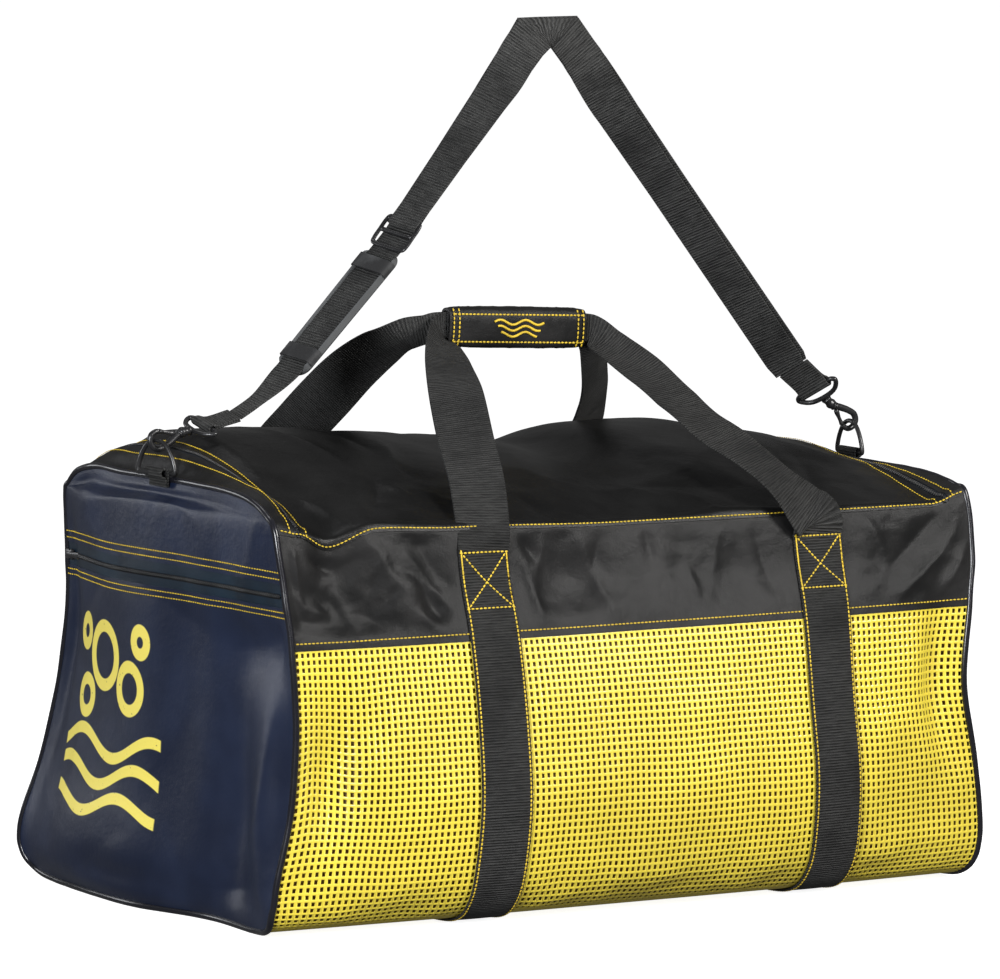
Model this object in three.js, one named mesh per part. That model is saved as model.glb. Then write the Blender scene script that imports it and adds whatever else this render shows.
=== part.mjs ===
// Mesh dive gear bag: a net sleeve with a coated band and lid, two cloth ends, webbing girths and
// handles, and a padded shoulder strap held up by its folded top. Millimetres, +Z up, front at -Y.
// The bag is described standing on z = 0 and is then moved so that the strap's top is the origin.
import * as THREE from 'three';

// Body sizes
const LENGTH = 700;
const WIDTH = 410;
const MESH_HEIGHT = 252;
const BAND_HEIGHT = 92;
const LID_RISE = 60;
const BULGE = 36;
const FLARE = 20;
const END_BELLY = 16;
const SEAM_WAVE = 8;
const FOLD_DEPTH = 12;

// Wall thicknesses and clearances
const MESH_WALL = 2.2;
const CLOTH_WALL = 1.5;
const GAP = 0.35;
const PIPING_RADIUS = 3;
const PIPING_SIDES = 5;
const PIPING_CLEARANCE = 0.8;
const PIPING_SINK = 1;
const WEBBING = 2;
const STRIP_CLEARANCE = 0.7;

// Net windows
const WINDOW_COLUMNS = 12;
const STRAND_SHARE = 0.36;

// Zippers
const LID_ZIP_INSET = 27;
const ZIP_WIDTH = 11;
const POCKET_ZIP_HEIGHT = 304;
const POCKET_ZIP_WIDTH = 28;
const SLIDER_LENGTH = 13;
const SLIDER_WIDTH = 10;
const SLIDER_DEPTH = 4;
const PULL_LENGTH = 26;
const PULL_WIDTH = 6;
const PULL_DEPTH = 2;
const PULL_LIFT = 1.5;

// Girth strips and carry handles
const STRIP_WIDTH = 50;
const STRIP_X = { left: -150, right: 192 };
const STRIP_TOP = 323;
const GRIP_CENTRE = { x: 3, y: 0, z: 503 };
const GRIP_LENGTH = 142;
const GRIP_HEIGHT = 36;
const GRIP_DEPTH = 19;
const GRIP_DROP = 7;
const GRIP_LEAD = 5;
const GRIP_WALL = 2.2;
const HANDLE_FOLDED_WIDTH = 26;
const HANDLE_FOLDED_DEPTH = 4.6;
const HANDLE_SPACING = 7.6;

// Shoulder strap and its hardware
const STRAP_WIDTH = 37;
const APEX = { x: 40, z: 782 };
const APEX_HALF = 30;
const APEX_DROP = 27;
const LAYER_SPACING = 2.6;
const RETURN_SHIFT = 5;
const GLIDE = { x: -118, z: 592 };
const GLIDE_LENGTH = 34;
const GLIDE_WIDTH = 49;
const GLIDE_DEPTH = 3;
const GLIDE_BAR = 4.5;
const PAD_END = { x: -229, z: 477 };
const PAD_WIDTH = 44;
const PAD_DEPTH = 7;
const PAD_TIP = 10;
const BRIDGE_LENGTH = 15;
const BRIDGE_DEPTH = 2.5;
const RING_WIDTH = 42;
const RING_HEIGHT = 28;
const RING_WIRE = 2.1;
const RING_LIFT = 5;
const TAB_WIDTH = 32;
const TAB_LENGTH = 17;
const TAB_STANDOFF = { left: 0.4, right: 2.7 };
const LOOP_LENGTH = 30;
const HOOK_REACH = 48;
const HOOK_SEAT = { left: 1.8, right: 2.3 };
const HOOK_TILT = { left: 13.5, right: 40 };
const HOOK_SWIVEL = { left: 75, right: 0 };
const FRAME_WIDTH = 44;
const FRAME_LENGTH = 13;
const FRAME_WIRE = 2.3;
const RING_FACETS = 20;

const COLOURS = {
  mesh: [0xf2d92a, 0.35], coated: [0x101012, 0.38], navy: [0x151a3c, 0.55], webbing: [0x18181a, 0.8],
  piping: [0x0b0b10, 0.25], zipper: [0x0c0c0d, 0.6], plastic: [0x0e0e0f, 0.35], rubber: [0x1b1c1d, 0.65],
};

// Round the bag from the middle of the bottom: front, lid, back. depth is a share of half the
// width, bulge of BULGE at mid length, height of the zone's own size, dome the lid's height share
// at mid length, flareLeft and flareRight shares of FLARE past each end.
const MESH = { base: 0, size: MESH_HEIGHT };
const BAND = { base: MESH_HEIGHT, size: BAND_HEIGHT };
const LID = { base: MESH_HEIGHT + BAND_HEIGHT, size: LID_RISE };
const GIRTH = [
  { depth: 0.10, bulge: 0.00, zone: MESH, height: 0.00, dome: 0.00, flareLeft: 1.00, flareRight: 0.4 },
  { depth: -0.35, bulge: 0.00, zone: MESH, height: 0.00, dome: 0.00, flareLeft: -0.10, flareRight: 0.4 },
  { depth: -0.76, bulge: 0.00, zone: MESH, height: 0.00, dome: 0.00, flareLeft: 0.05, flareRight: 0.4 },
  { depth: -0.96, bulge: 0.30, zone: MESH, height: 0.02, dome: 0.02, flareLeft: 0.35, flareRight: 0.5 },
  { depth: -1.03, bulge: 0.62, zone: MESH, height: 0.09, dome: 0.09, flareLeft: 0.45, flareRight: 0.8 },
  { depth: -1.05, bulge: 0.90, zone: MESH, height: 0.21, dome: 0.21, flareLeft: 0.30, flareRight: 0.85 },
  { depth: -1.07, bulge: 1.00, zone: MESH, height: 0.44, dome: 0.44, flareLeft: -0.25, flareRight: 0.4 },
  { depth: -1.08, bulge: 0.70, zone: MESH, height: 0.72, dome: 0.72, flareLeft: -0.45, flareRight: -0.25 },
  { depth: -1.07, bulge: 0.33, zone: MESH, height: 1.00, dome: 1.00, flareLeft: -0.30, flareRight: 0.1 },
  { depth: -1.04, bulge: 0.05, zone: BAND, height: 0.50, dome: 0.50, flareLeft: -0.10, flareRight: 0.4 },
  { depth: -1.00, bulge: 0.00, zone: BAND, height: 1.00, dome: 1.00, flareLeft: 0.10, flareRight: 0.3 },
  { depth: -0.93, bulge: 0.00, zone: LID, height: 0.45, dome: 0.14, flareLeft: 0.10, flareRight: 0.2 },
  { depth: -0.78, bulge: 0.00, zone: LID, height: 0.82, dome: 0.36, flareLeft: 0.10, flareRight: 0.1 },
  { depth: -0.58, bulge: 0.00, zone: LID, height: 0.97, dome: 0.59, flareLeft: 0.10, flareRight: 0.1 },
  { depth: -0.30, bulge: 0.00, zone: LID, height: 1.00, dome: 0.83, flareLeft: 0.10, flareRight: 0.1 },
  { depth: 0.05, bulge: 0.00, zone: LID, height: 1.00, dome: 1.00, flareLeft: 0.10, flareRight: 0.1 },
  { depth: 0.38, bulge: 0.00, zone: LID, height: 0.97, dome: 0.97, flareLeft: 0.10, flareRight: 0.1 },
  { depth: 0.62, bulge: 0.00, zone: LID, height: 1.00, dome: 0.80, flareLeft: 0.10, flareRight: 0.1 },
  { depth: 0.80, bulge: 0.00, zone: LID, height: 0.80, dome: 0.50, flareLeft: 0.10, flareRight: 0.1 },
  { depth: 0.90, bulge: 0.05, zone: LID, height: 0.40, dome: 0.22, flareLeft: 0.10, flareRight: 0.2 },
  { depth: 0.94, bulge: 0.10, zone: BAND, height: 1.00, dome: 1.00, flareLeft: 0.10, flareRight: 0.3 },
  { depth: 0.96, bulge: 0.30, zone: BAND, height: 0.50, dome: 0.50, flareLeft: -0.10, flareRight: 0.4 },
  { depth: 0.98, bulge: 0.60, zone: MESH, height: 1.00, dome: 1.00, flareLeft: -0.20, flareRight: 0.1 },
  { depth: 1.05, bulge: 0.75, zone: MESH, height: 0.72, dome: 0.72, flareLeft: -0.10, flareRight: -0.25 },
  { depth: 1.13, bulge: 0.60, zone: MESH, height: 0.44, dome: 0.44, flareLeft: 0.35, flareRight: 0.4 },
  { depth: 1.19, bulge: 0.30, zone: MESH, height: 0.21, dome: 0.21, flareLeft: 1.10, flareRight: 0.85 },
  { depth: 1.19, bulge: 0.10, zone: MESH, height: 0.09, dome: 0.09, flareLeft: 1.15, flareRight: 0.8 },
  { depth: 1.11, bulge: 0.00, zone: MESH, height: 0.02, dome: 0.02, flareLeft: 0.80, flareRight: 0.5 },
  { depth: 0.86, bulge: 0.00, zone: MESH, height: 0.00, dome: 0.00, flareLeft: 0.85, flareRight: 0.4 },
  { depth: 0.48, bulge: 0.00, zone: MESH, height: 0.00, dome: 0.00, flareLeft: 1.10, flareRight: 0.4 },
];
const ROWS = GIRTH.length;
// Rows where the net turns under the bag, meets the band, and the band meets the lid
const TURN = 2.5;
const BAND_SEAM = 8;
const TOP_SEAM = 10;
const LID_ZIP_BACK = { inner: 18.35, outer: 18.9 };
const END_CORNER = { low: 3.3, high: 12 };

// Along the bag: height of the lid's crown, a share of LID_RISE
const CROWN = [
  { at: 0, share: 0.63 }, { at: 0.03, share: 0.95 }, { at: 0.065, share: 1.16 }, { at: 0.17, share: 1.14 },
  { at: 0.42, share: 1.0 }, { at: 0.53, share: 0.9 }, { at: 0.63, share: 1.0 }, { at: 0.75, share: 0.96 },
  { at: 0.82, share: 0.87 }, { at: 0.9, share: 0.75 }, { at: 0.95, share: 0.62 }, { at: 1, share: 0.36 },
];
// Along the bag: rise and dip of the top seam, a share of SEAM_WAVE
const SEAM = [
  { at: 0, share: 0.9 }, { at: 0.03, share: 0.4 }, { at: 0.075, share: -1.0 }, { at: 0.14, share: 0.5 },
  { at: 0.25, share: 0.1 }, { at: 0.5, share: -0.4 }, { at: 0.8, share: -0.5 }, { at: 0.95, share: -0.5 },
  { at: 1, share: 0.7 },
];
// Soft dents of the walls: place along and round, spans in the same measures, share of FOLD_DEPTH
const DENTS = [
  { along: 0.075, round: 9.3, spanAlong: 0.03, spanRound: 0.8, depth: 1.0 },
  { along: 0.055, round: 6.4, spanAlong: 0.03, spanRound: 1.0, depth: 1.1 },
  { along: 0.955, round: 7.0, spanAlong: 0.025, spanRound: 1.0, depth: 0.9 },
  { along: 0.17, round: 9.2, spanAlong: 0.03, spanRound: 0.5, depth: -0.5 },
  { along: 0.40, round: 8.9, spanAlong: 0.05, spanRound: 0.6, depth: 0.5 },
  { along: 0.55, round: 15.5, spanAlong: 0.05, spanRound: 2.5, depth: 0.6 },
  { along: 0.12, round: 23.0, spanAlong: 0.05, spanRound: 1.0, depth: 0.7 },
  { along: 0.86, round: 23.5, spanAlong: 0.05, spanRound: 1.0, depth: 0.7 },
];
// Dents and folds of an end: place across from the front and up, spans, share of FOLD_DEPTH
const END_DENTS = {
  left: [
    { across: 0.22, up: 0.10, spanAcross: 0.12, spanUp: 0.25, depth: 1.1 },
    { across: 0.86, up: 0.88, spanAcross: 0.10, spanUp: 0.07, depth: 0.7 },
    { across: 0.35, up: 0.45, spanAcross: 0.05, spanUp: 0.30, depth: -0.4 },
  ],
  right: [
    { across: 0.70, up: 0.20, spanAcross: 0.15, spanUp: 0.25, depth: 0.9 },
    { across: 0.30, up: 0.80, spanAcross: 0.12, spanUp: 0.10, depth: 0.6 },
  ],
};
// Carry handle legs from the strip's top (0) to the grip's end (1): shares of that offset in x, y
// and z, and the width as a share of the webbing's
const LEGS = {
  frontLeft: [
    { x: 0.00, y: 0.00, z: 0.00, width: 1.00 }, { x: 0.00, y: -0.012, z: 0.13, width: 1.00 },
    { x: 0.02, y: 0.05, z: 0.24, width: 1.00 }, { x: 0.05, y: 0.16, z: 0.38, width: 1.00 },
    { x: 0.07, y: 0.34, z: 0.57, width: 0.98 }, { x: 0.08, y: 0.52, z: 0.75, width: 0.90 },
    { x: 0.20, y: 0.72, z: 0.905, width: 0.72 }, { x: 0.52, y: 0.92, z: 0.985, width: 0.56 },
  ],
  frontRight: [
    { x: 0.00, y: 0.00, z: 0.00, width: 1.00 }, { x: 0.00, y: -0.012, z: 0.13, width: 1.00 },
    { x: 0.01, y: 0.05, z: 0.20, width: 1.00 }, { x: 0.06, y: 0.16, z: 0.28, width: 1.00 },
    { x: 0.17, y: 0.35, z: 0.42, width: 1.00 }, { x: 0.40, y: 0.58, z: 0.63, width: 0.95 },
    { x: 0.66, y: 0.80, z: 0.83, width: 0.78 }, { x: 0.86, y: 0.96, z: 0.96, width: 0.58 },
  ],
  backLeft: [
    { x: 0.00, y: 0.00, z: 0.00, width: 1.00 }, { x: 0.00, y: -0.02, z: 0.14, width: 1.00 },
    { x: -0.09, y: 0.05, z: 0.25, width: 1.00 }, { x: -0.11, y: 0.17, z: 0.39, width: 1.00 },
    { x: -0.06, y: 0.37, z: 0.59, width: 1.00 }, { x: 0.12, y: 0.58, z: 0.78, width: 0.92 },
    { x: 0.45, y: 0.80, z: 0.93, width: 0.76 }, { x: 0.75, y: 0.95, z: 0.99, width: 0.58 },
  ],
  backRight: [
    { x: 0.00, y: 0.00, z: 0.00, width: 1.00 }, { x: 0.00, y: -0.02, z: 0.15, width: 1.00 },
    { x: 0.08, y: 0.06, z: 0.25, width: 0.98 }, { x: 0.16, y: 0.18, z: 0.38, width: 0.94 },
    { x: 0.30, y: 0.38, z: 0.56, width: 0.86 }, { x: 0.44, y: 0.58, z: 0.73, width: 0.78 },
    { x: 0.62, y: 0.78, z: 0.89, width: 0.68 }, { x: 0.82, y: 0.94, z: 0.98, width: 0.57 },
  ],
};
// The snap hook's wire, from its swivel round the ring and back, shares of HOOK_REACH and the
// wire's radius
const HOOK_WIRE = [
  { x: 0.331, z: 0.00, radius: 4.4 }, { x: 0.53, z: 0.00, radius: 4.4 }, { x: 0.58, z: 0.02, radius: 3.2 },
  { x: 0.68, z: 0.12, radius: 3.0 }, { x: 0.84, z: 0.20, radius: 2.9 }, { x: 1.02, z: 0.18, radius: 2.8 },
  { x: 1.15, z: 0.06, radius: 2.8 }, { x: 1.16, z: -0.09, radius: 2.7 }, { x: 1.05, z: -0.20, radius: 2.6 },
  { x: 0.88, z: -0.23, radius: 2.5 }, { x: 0.79, z: -0.21, radius: 2.3 },
];
const GATE_WIRE = { from: { x: 0.763, z: -0.204 }, to: { x: 0.648, z: -0.035 }, radius: 1.6 };

const V3 = (x, y, z) => new THREE.Vector3(x, y, z);
const mix = (a, b, t) => a + (b - a) * t;
const smooth = (t) => { const c = Math.min(1, Math.max(0, t)); return c * c * (3 - 2 * c); };
const steps = (from, to, count) => Array.from({ length: count + 1 }, (_, i) => mix(from, to, i / count));

// A value between the rows of a table of { at, share }
function between(table, at) {
  let i = 0;
  while (i < table.length - 2 && table[i + 1].at < at) i += 1;
  const t = smooth((at - table[i].at) / (table[i + 1].at - table[i].at));
  return mix(table[i].share, table[i + 1].share, t);
}

// Cubic through four numbers
function spline(a, b, c, d, t) {
  return 0.5 * (2 * b + (c - a) * t + (2 * a - 5 * b + 4 * c - d) * t * t + (3 * (b - c) + d - a) * t * t * t);
}

// One closed body from loose quads, turned so that its faces point out
class Skin {
  constructor() {
    this.corners = [];
  }

  triangle(a, b, c) {
    this.corners.push(a, b, c);
  }

  quad(a, b, c, d) {
    this.triangle(a, b, c);
    this.triangle(a, c, d);
  }

  geometry() {
    const volume = new THREE.Vector3();
    let sum = 0;
    for (let i = 0; i < this.corners.length; i += 3) {
      sum += volume.crossVectors(this.corners[i + 1], this.corners[i + 2]).dot(this.corners[i]);
    }
    const numbers = [];
    for (let i = 0; i < this.corners.length; i += 3) {
      const order = sum > 0 ? [0, 1, 2] : [0, 2, 1];
      order.forEach((k) => numbers.push(...this.corners[i + k].toArray()));
    }
    const shape = new THREE.BufferGeometry();
    shape.setAttribute('position', new THREE.Float32BufferAttribute(numbers, 3));
    shape.computeVertexNormals();
    return shape;
  }
}

// A wall over a grid of lines. place(u, v, inner) gives a corner, open(i, j) leaves a cell out.
function wall(us, vs, place, open = () => false) {
  const skin = new Skin();
  const outer = us.map((u) => vs.map((v) => place(u, v, false)));
  const inner = us.map((u) => vs.map((v) => place(u, v, true)));
  const filled = (i, j) => i >= 0 && j >= 0 && i < us.length - 1 && j < vs.length - 1 && !open(i, j);
  const rim = (i, j, k, l) => skin.quad(outer[k][l], outer[i][j], inner[i][j], inner[k][l]);
  for (let i = 0; i < us.length - 1; i += 1) {
    for (let j = 0; j < vs.length - 1; j += 1) {
      if (!filled(i, j)) continue;
      skin.quad(outer[i][j], outer[i + 1][j], outer[i + 1][j + 1], outer[i][j + 1]);
      skin.quad(inner[i][j], inner[i][j + 1], inner[i + 1][j + 1], inner[i + 1][j]);
      if (!filled(i, j - 1)) rim(i, j, i + 1, j);
      if (!filled(i + 1, j)) rim(i + 1, j, i + 1, j + 1);
      if (!filled(i, j + 1)) rim(i + 1, j + 1, i, j + 1);
      if (!filled(i - 1, j)) rim(i, j + 1, i, j);
    }
  }
  return skin.geometry();
}

// The sides of a solid through rings of corners
function joinRings(skin, rings) {
  const count = rings[0].length;
  for (let r = 0; r < rings.length - 1; r += 1) {
    for (let k = 0; k < count; k += 1) {
      const n = (k + 1) % count;
      skin.quad(rings[r][k], rings[r][n], rings[r + 1][n], rings[r + 1][k]);
    }
  }
}

// A ring-shaped solid: the last ring of corners meets the first
function loop(rings) {
  const skin = new Skin();
  joinRings(skin, [...rings, rings[0]]);
  return skin.geometry();
}

// A solid capped at both ends
function loft(rings) {
  const skin = new Skin();
  const count = rings[0].length;
  joinRings(skin, rings);
  const last = rings[rings.length - 1];
  for (let k = 1; k < count - 1; k += 1) {
    skin.triangle(rings[0][0], rings[0][k + 1], rings[0][k]);
    skin.triangle(last[0], last[k], last[k + 1]);
  }
  return skin.geometry();
}

// The body's surface
function rowPoint(u, index) {
  const row = GIRTH[((index % ROWS) + ROWS) % ROWS];
  const middle = 1 - Math.abs(2 * u - 1) ** 2.6;
  const inward = smooth(u / 0.045) * smooth((1 - u) / 0.045);
  const left = (1 - u) ** 6;
  const right = u ** 6;
  const x = mix(-LENGTH / 2, LENGTH / 2, u) + FLARE * (row.flareRight * right - row.flareLeft * left);
  const y = (WIDTH / 2) * row.depth + Math.sign(row.depth) * BULGE * row.bulge * middle;
  let z = row.zone.base + row.zone.size * row.height;
  const wave = SEAM_WAVE * between(SEAM, u);
  if (row.zone === BAND) z += wave * row.height;
  if (row.zone === LID) {
    const share = mix(row.height, row.dome, inward);
    z = LID.base + wave * (1 - share) + LID.size * between(CROWN, u) * share;
  }
  return V3(x, y, z);
}

function smoothSurface(u, v) {
  const i = Math.floor(v);
  const rows = [-1, 0, 1, 2].map((k) => rowPoint(u, i + k));
  const along = (axis) => spline(...rows.map((row) => row[axis]), v - i);
  return V3(along('x'), along('y'), Math.max(0, along('z')));
}

function outward(u, v) {
  const eps = 0.002;
  const along = smoothSurface(Math.min(1, u + eps), v).sub(smoothSurface(Math.max(0, u - eps), v));
  const round = smoothSurface(u, v + eps * 20).sub(smoothSurface(u, v - eps * 20));
  return along.cross(round).normalize();
}

function dentAt(u, v) {
  let depth = 0;
  for (const dent of DENTS) {
    const a = (u - dent.along) / dent.spanAlong;
    const b = (v - dent.round) / dent.spanRound;
    depth += dent.depth * Math.exp(-a * a - b * b);
  }
  return FOLD_DEPTH * depth;
}

// A point on the body, a distance out from its cloth; the strips hold the bottom off the ground
const STRIP_STANDS = WEBBING + STRIP_CLEARANCE;
function body(u, v, out) {
  const around = ((v % ROWS) + ROWS) % ROWS;
  const normal = outward(u, v);
  return smoothSurface(u, v).addScaledVector(normal, out - dentAt(u, around)).add(V3(0, 0, STRIP_STANDS));
}

const uOf = (x) => (x + LENGTH / 2) / LENGTH;
const END_GAP = (PIPING_RADIUS + PIPING_CLEARANCE) / LENGTH;
const alongWall = (thickness) => (u, v, inner) => body(u, v, inner ? -thickness : 0);

// Shared lines round the bag, so that neighbours have the same facets
const FRONT_LINES = [TURN, 3, 3.45, 3.9, 4.7, 5.1, 6.1, 6.5, 7.6, BAND_SEAM];
const BAND_LINES = [BAND_SEAM, 8.5, 9, 9.5, TOP_SEAM];
const mirrored = (lines) => lines.map((v) => ROWS - v).reverse();
const BOTTOM_LINES = [-TURN, -2.1, -1.5, -1.1, -0.6, 0, 0.4, 1.2, 1.7, 2.1, TURN];
const inset = (lines, low, high) => lines.map((v, i) => {
  if (i === 0) return v + low;
  return i === lines.length - 1 ? v - high : v;
});
const SEAM_GAP = 0.012;
const LEG_GAP = 0.035;

// Lines along the bag at the edges of the net's windows
function windowLines() {
  const lines = [];
  for (let i = 0; i < WINDOW_COLUMNS; i += 1) {
    lines.push((i + STRAND_SHARE / 2) / WINDOW_COLUMNS, (i + 1 - STRAND_SHARE / 2) / WINDOW_COLUMNS);
  }
  return [END_GAP, ...lines, 1 - END_GAP];
}

function netWall(vLines, windowRows) {
  const us = windowLines();
  const isOpen = (from, to) => windowRows.some(([low, high]) => from >= low && to <= high);
  const isWindow = (i, j) => i % 2 === 1 && isOpen(vLines[j], vLines[j + 1]);
  return wall(us, vLines, alongWall(MESH_WALL), isWindow);
}

const FRONT_WINDOWS = [[3.9, 4.7], [5.1, 6.1], [6.5, 7.6]];
const BACK_WINDOWS = FRONT_WINDOWS.map(([low, high]) => [ROWS - high, ROWS - low]);
const BOTTOM_WINDOWS = [[-2.1, -1.5], [-1.1, 0], [0.4, 1.2]];

// Band and lid cloth
const BODY_U = [
  END_GAP, 0.02, 0.045, 0.075, 0.11, 0.17, 0.25, 0.34, 0.44, 0.53, 0.63, 0.75, 0.82, 0.9, 0.955, 0.98,
  1 - END_GAP,
];
function bandWall(vLines) {
  return wall(BODY_U, inset(vLines, SEAM_GAP, SEAM_GAP), alongWall(CLOTH_WALL));
}

// The lid: a panel, a zipper round three of its sides and a border outside that
const ZIP_U = { outer: (LID_ZIP_INSET - ZIP_WIDTH) / LENGTH, inner: LID_ZIP_INSET / LENGTH };
const U_GAP = GAP / LENGTH;
const LID_LINES = [TOP_SEAM + SEAM_GAP, 10.5, 11, 11.5, 12, 13, 14, 15, 16, 17, 17.6];
const BORDER_LINE = 19.5;
function lidPanel() {
  const inside = BODY_U.filter((u) => u > ZIP_U.inner + 0.01 && u < 0.95);
  const us = [ZIP_U.inner + U_GAP, ...inside, 1 - ZIP_U.inner - U_GAP];
  return wall(us, [...LID_LINES, LID_ZIP_BACK.inner - SEAM_GAP], alongWall(CLOTH_WALL));
}

function lidRim(outerU, innerU, backLines) {
  const middle = BODY_U.filter((u) => u > innerU + 0.008 && u < 1 - innerU - 0.008);
  const us = [outerU, innerU, ...middle, 1 - innerU, 1 - outerU];
  const vs = [...LID_LINES, ...backLines];
  const open = (i, j) => i > 0 && i < us.length - 2 && j < vs.length - 2;
  return wall(us, vs, alongWall(CLOTH_WALL), open);
}

// A flat piece in the bag's skin, standing out from it
function patch(u, v, length, width, depth, lift) {
  const centre = body(u, v, lift + depth / 2);
  const shape = new THREE.BoxGeometry(length, width, depth);
  const across = outward(u, v);
  const along = V3(1, 0, 0).addScaledVector(across, -across.x).normalize();
  const basis = new THREE.Matrix4().makeBasis(along, across.clone().cross(along), across);
  shape.applyMatrix4(basis.setPosition(centre));
  return shape;
}

// Ends. sign is -1 on the left, 1 on the right.
const endU = (sign) => (sign < 0 ? 0 : 1);
function outline(sign, v, inward) {
  const u = endU(sign);
  const point = smoothSurface(u, v);
  const ahead = smoothSurface(u, v + 0.05).sub(smoothSurface(u, v - 0.05));
  const side = V3(0, -ahead.z, ahead.y).normalize();
  const middle = V3(0, 0, MESH_HEIGHT / 2).sub(point);
  if (side.dot(middle) < 0) side.negate();
  return point.addScaledVector(side, inward).add(V3(0, 0, STRIP_STANDS));
}

const END_INSET = PIPING_SINK + PIPING_RADIUS + PIPING_CLEARANCE + 0.5;
function endPoint(sign, s, t, out) {
  const low = END_CORNER.low;
  const high = END_CORNER.high;
  const front = (k) => outline(sign, mix(low, high, k), END_INSET);
  const back = (k) => outline(sign, ROWS - mix(low, high, k), END_INSET);
  const bottom = (k) => outline(sign, mix(low, -low, k), END_INSET);
  const top = (k) => outline(sign, mix(high, ROWS - high, k), END_INSET);
  const point = front(t).multiplyScalar(1 - s).addScaledVector(back(t), s)
    .addScaledVector(bottom(s), 1 - t).addScaledVector(top(s), t)
    .addScaledVector(front(0), -(1 - s) * (1 - t)).addScaledVector(back(0), -s * (1 - t))
    .addScaledVector(front(1), -(1 - s) * t).addScaledVector(back(1), -s * t);
  const rise = Math.max(0, Math.sin(Math.PI * s)) ** 0.7 * Math.max(0, Math.sin(Math.PI * t)) ** 1.1;
  let push = END_BELLY * rise;
  for (const dent of END_DENTS[sign < 0 ? 'left' : 'right']) {
    const a = (s - dent.across) / dent.spanAcross;
    const b = (t - dent.up) / dent.spanUp;
    push -= FOLD_DEPTH * dent.depth * Math.exp(-a * a - b * b) * Math.min(1, 3 * rise);
  }
  return point.add(V3(sign * (push + out), 0, 0));
}

// The ends have their facets where the walls beside them have theirs
const END_ACROSS = [END_CORNER.low, 2.5, 2.1, 1.2, 0.4, -0.6, -1.5, -2.1, -2.5, -END_CORNER.low]
  .map((v) => (END_CORNER.low - v) / (2 * END_CORNER.low));
const END_UP = [3.9, 4.7, 5.1, 6.1, 6.5, 7.6, 8.5, 9, 9.5, 10, 10.5, 11]
  .map((v) => (v - END_CORNER.low) / (END_CORNER.high - END_CORNER.low));
function endWall(sign, from, to) {
  const lines = [from, ...END_UP.filter((t) => t > from + 0.02 && t < to - 0.02), to];
  return wall(END_ACROSS, lines, (s, t, inner) => endPoint(sign, s, t, inner ? -CLOTH_WALL : 0));
}

// Where a height lies on the ends' upright measure
function endShare(height) {
  const v = BAND_SEAM + 2 * ((height - MESH_HEIGHT) / BAND_HEIGHT);
  return (v - END_CORNER.low) / (END_CORNER.high - END_CORNER.low);
}

function piping(sign) {
  const lines = [
    ...BOTTOM_LINES, ...FRONT_LINES.slice(1), ...BAND_LINES.slice(1), ...LID_LINES.slice(1),
    LID_ZIP_BACK.inner, LID_ZIP_BACK.outer, BORDER_LINE,
    ...mirrored(BAND_LINES), ...mirrored(FRONT_LINES).slice(1, -1),
  ];
  const rings = lines.map((v) => {
    const centre = outline(sign, v, PIPING_SINK);
    const side = outline(sign, v, PIPING_SINK + 1).sub(centre);
    return steps(0, 2 * Math.PI, PIPING_SIDES).slice(1).map((angle) => centre.clone()
      .addScaledVector(side, PIPING_RADIUS * Math.cos(angle))
      .add(V3(PIPING_RADIUS * Math.sin(angle), 0, 0)));
  });
  return loop(rings);
}

// A girth strip: down the front from the handle, under the bag and up the back
const STRIP_TOP_V = BAND_SEAM + 2 * ((STRIP_TOP - MESH_HEIGHT) / BAND_HEIGHT);
const STRIP_LINES = [
  ...[...BAND_LINES.filter((v) => v < STRIP_TOP_V - 0.2), STRIP_TOP_V].reverse(),
  ...FRONT_LINES.slice(0, -1).reverse(),
  ...BOTTOM_LINES.slice(0, -1).reverse(),
  ...FRONT_LINES.slice(1).map((v) => -v),
  ...[...BAND_LINES.slice(1).filter((v) => v < STRIP_TOP_V - 0.2), STRIP_TOP_V].map((v) => -v),
];
function girthStrip(x) {
  const us = steps(uOf(x - STRIP_WIDTH / 2), uOf(x + STRIP_WIDTH / 2), 2);
  return wall(us, STRIP_LINES, (u, v, inner) => body(u, v, STRIP_CLEARANCE + (inner ? 0 : WEBBING)));
}

// A flat band through stations of { centre, across, normal, width, depth }
function ribbon(stations) {
  return loft(stations.map(({ centre, across, normal, width, depth }) => {
    const a = across.clone().multiplyScalar(width / 2);
    const n = normal.clone().multiplyScalar(depth / 2);
    return [
      centre.clone().add(a).add(n), centre.clone().sub(a).add(n),
      centre.clone().sub(a).sub(n), centre.clone().add(a).sub(n),
    ];
  }));
}

// A carry handle: from one strip's top, up, through the grip and down to the other
function gripEnd(end, side) {
  const x = GRIP_CENTRE.x + end * (GRIP_LENGTH / 2 + GRIP_LEAD);
  return V3(x, GRIP_CENTRE.y + side * HANDLE_SPACING / 2, GRIP_CENTRE.z - end * GRIP_DROP / 2);
}

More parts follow.
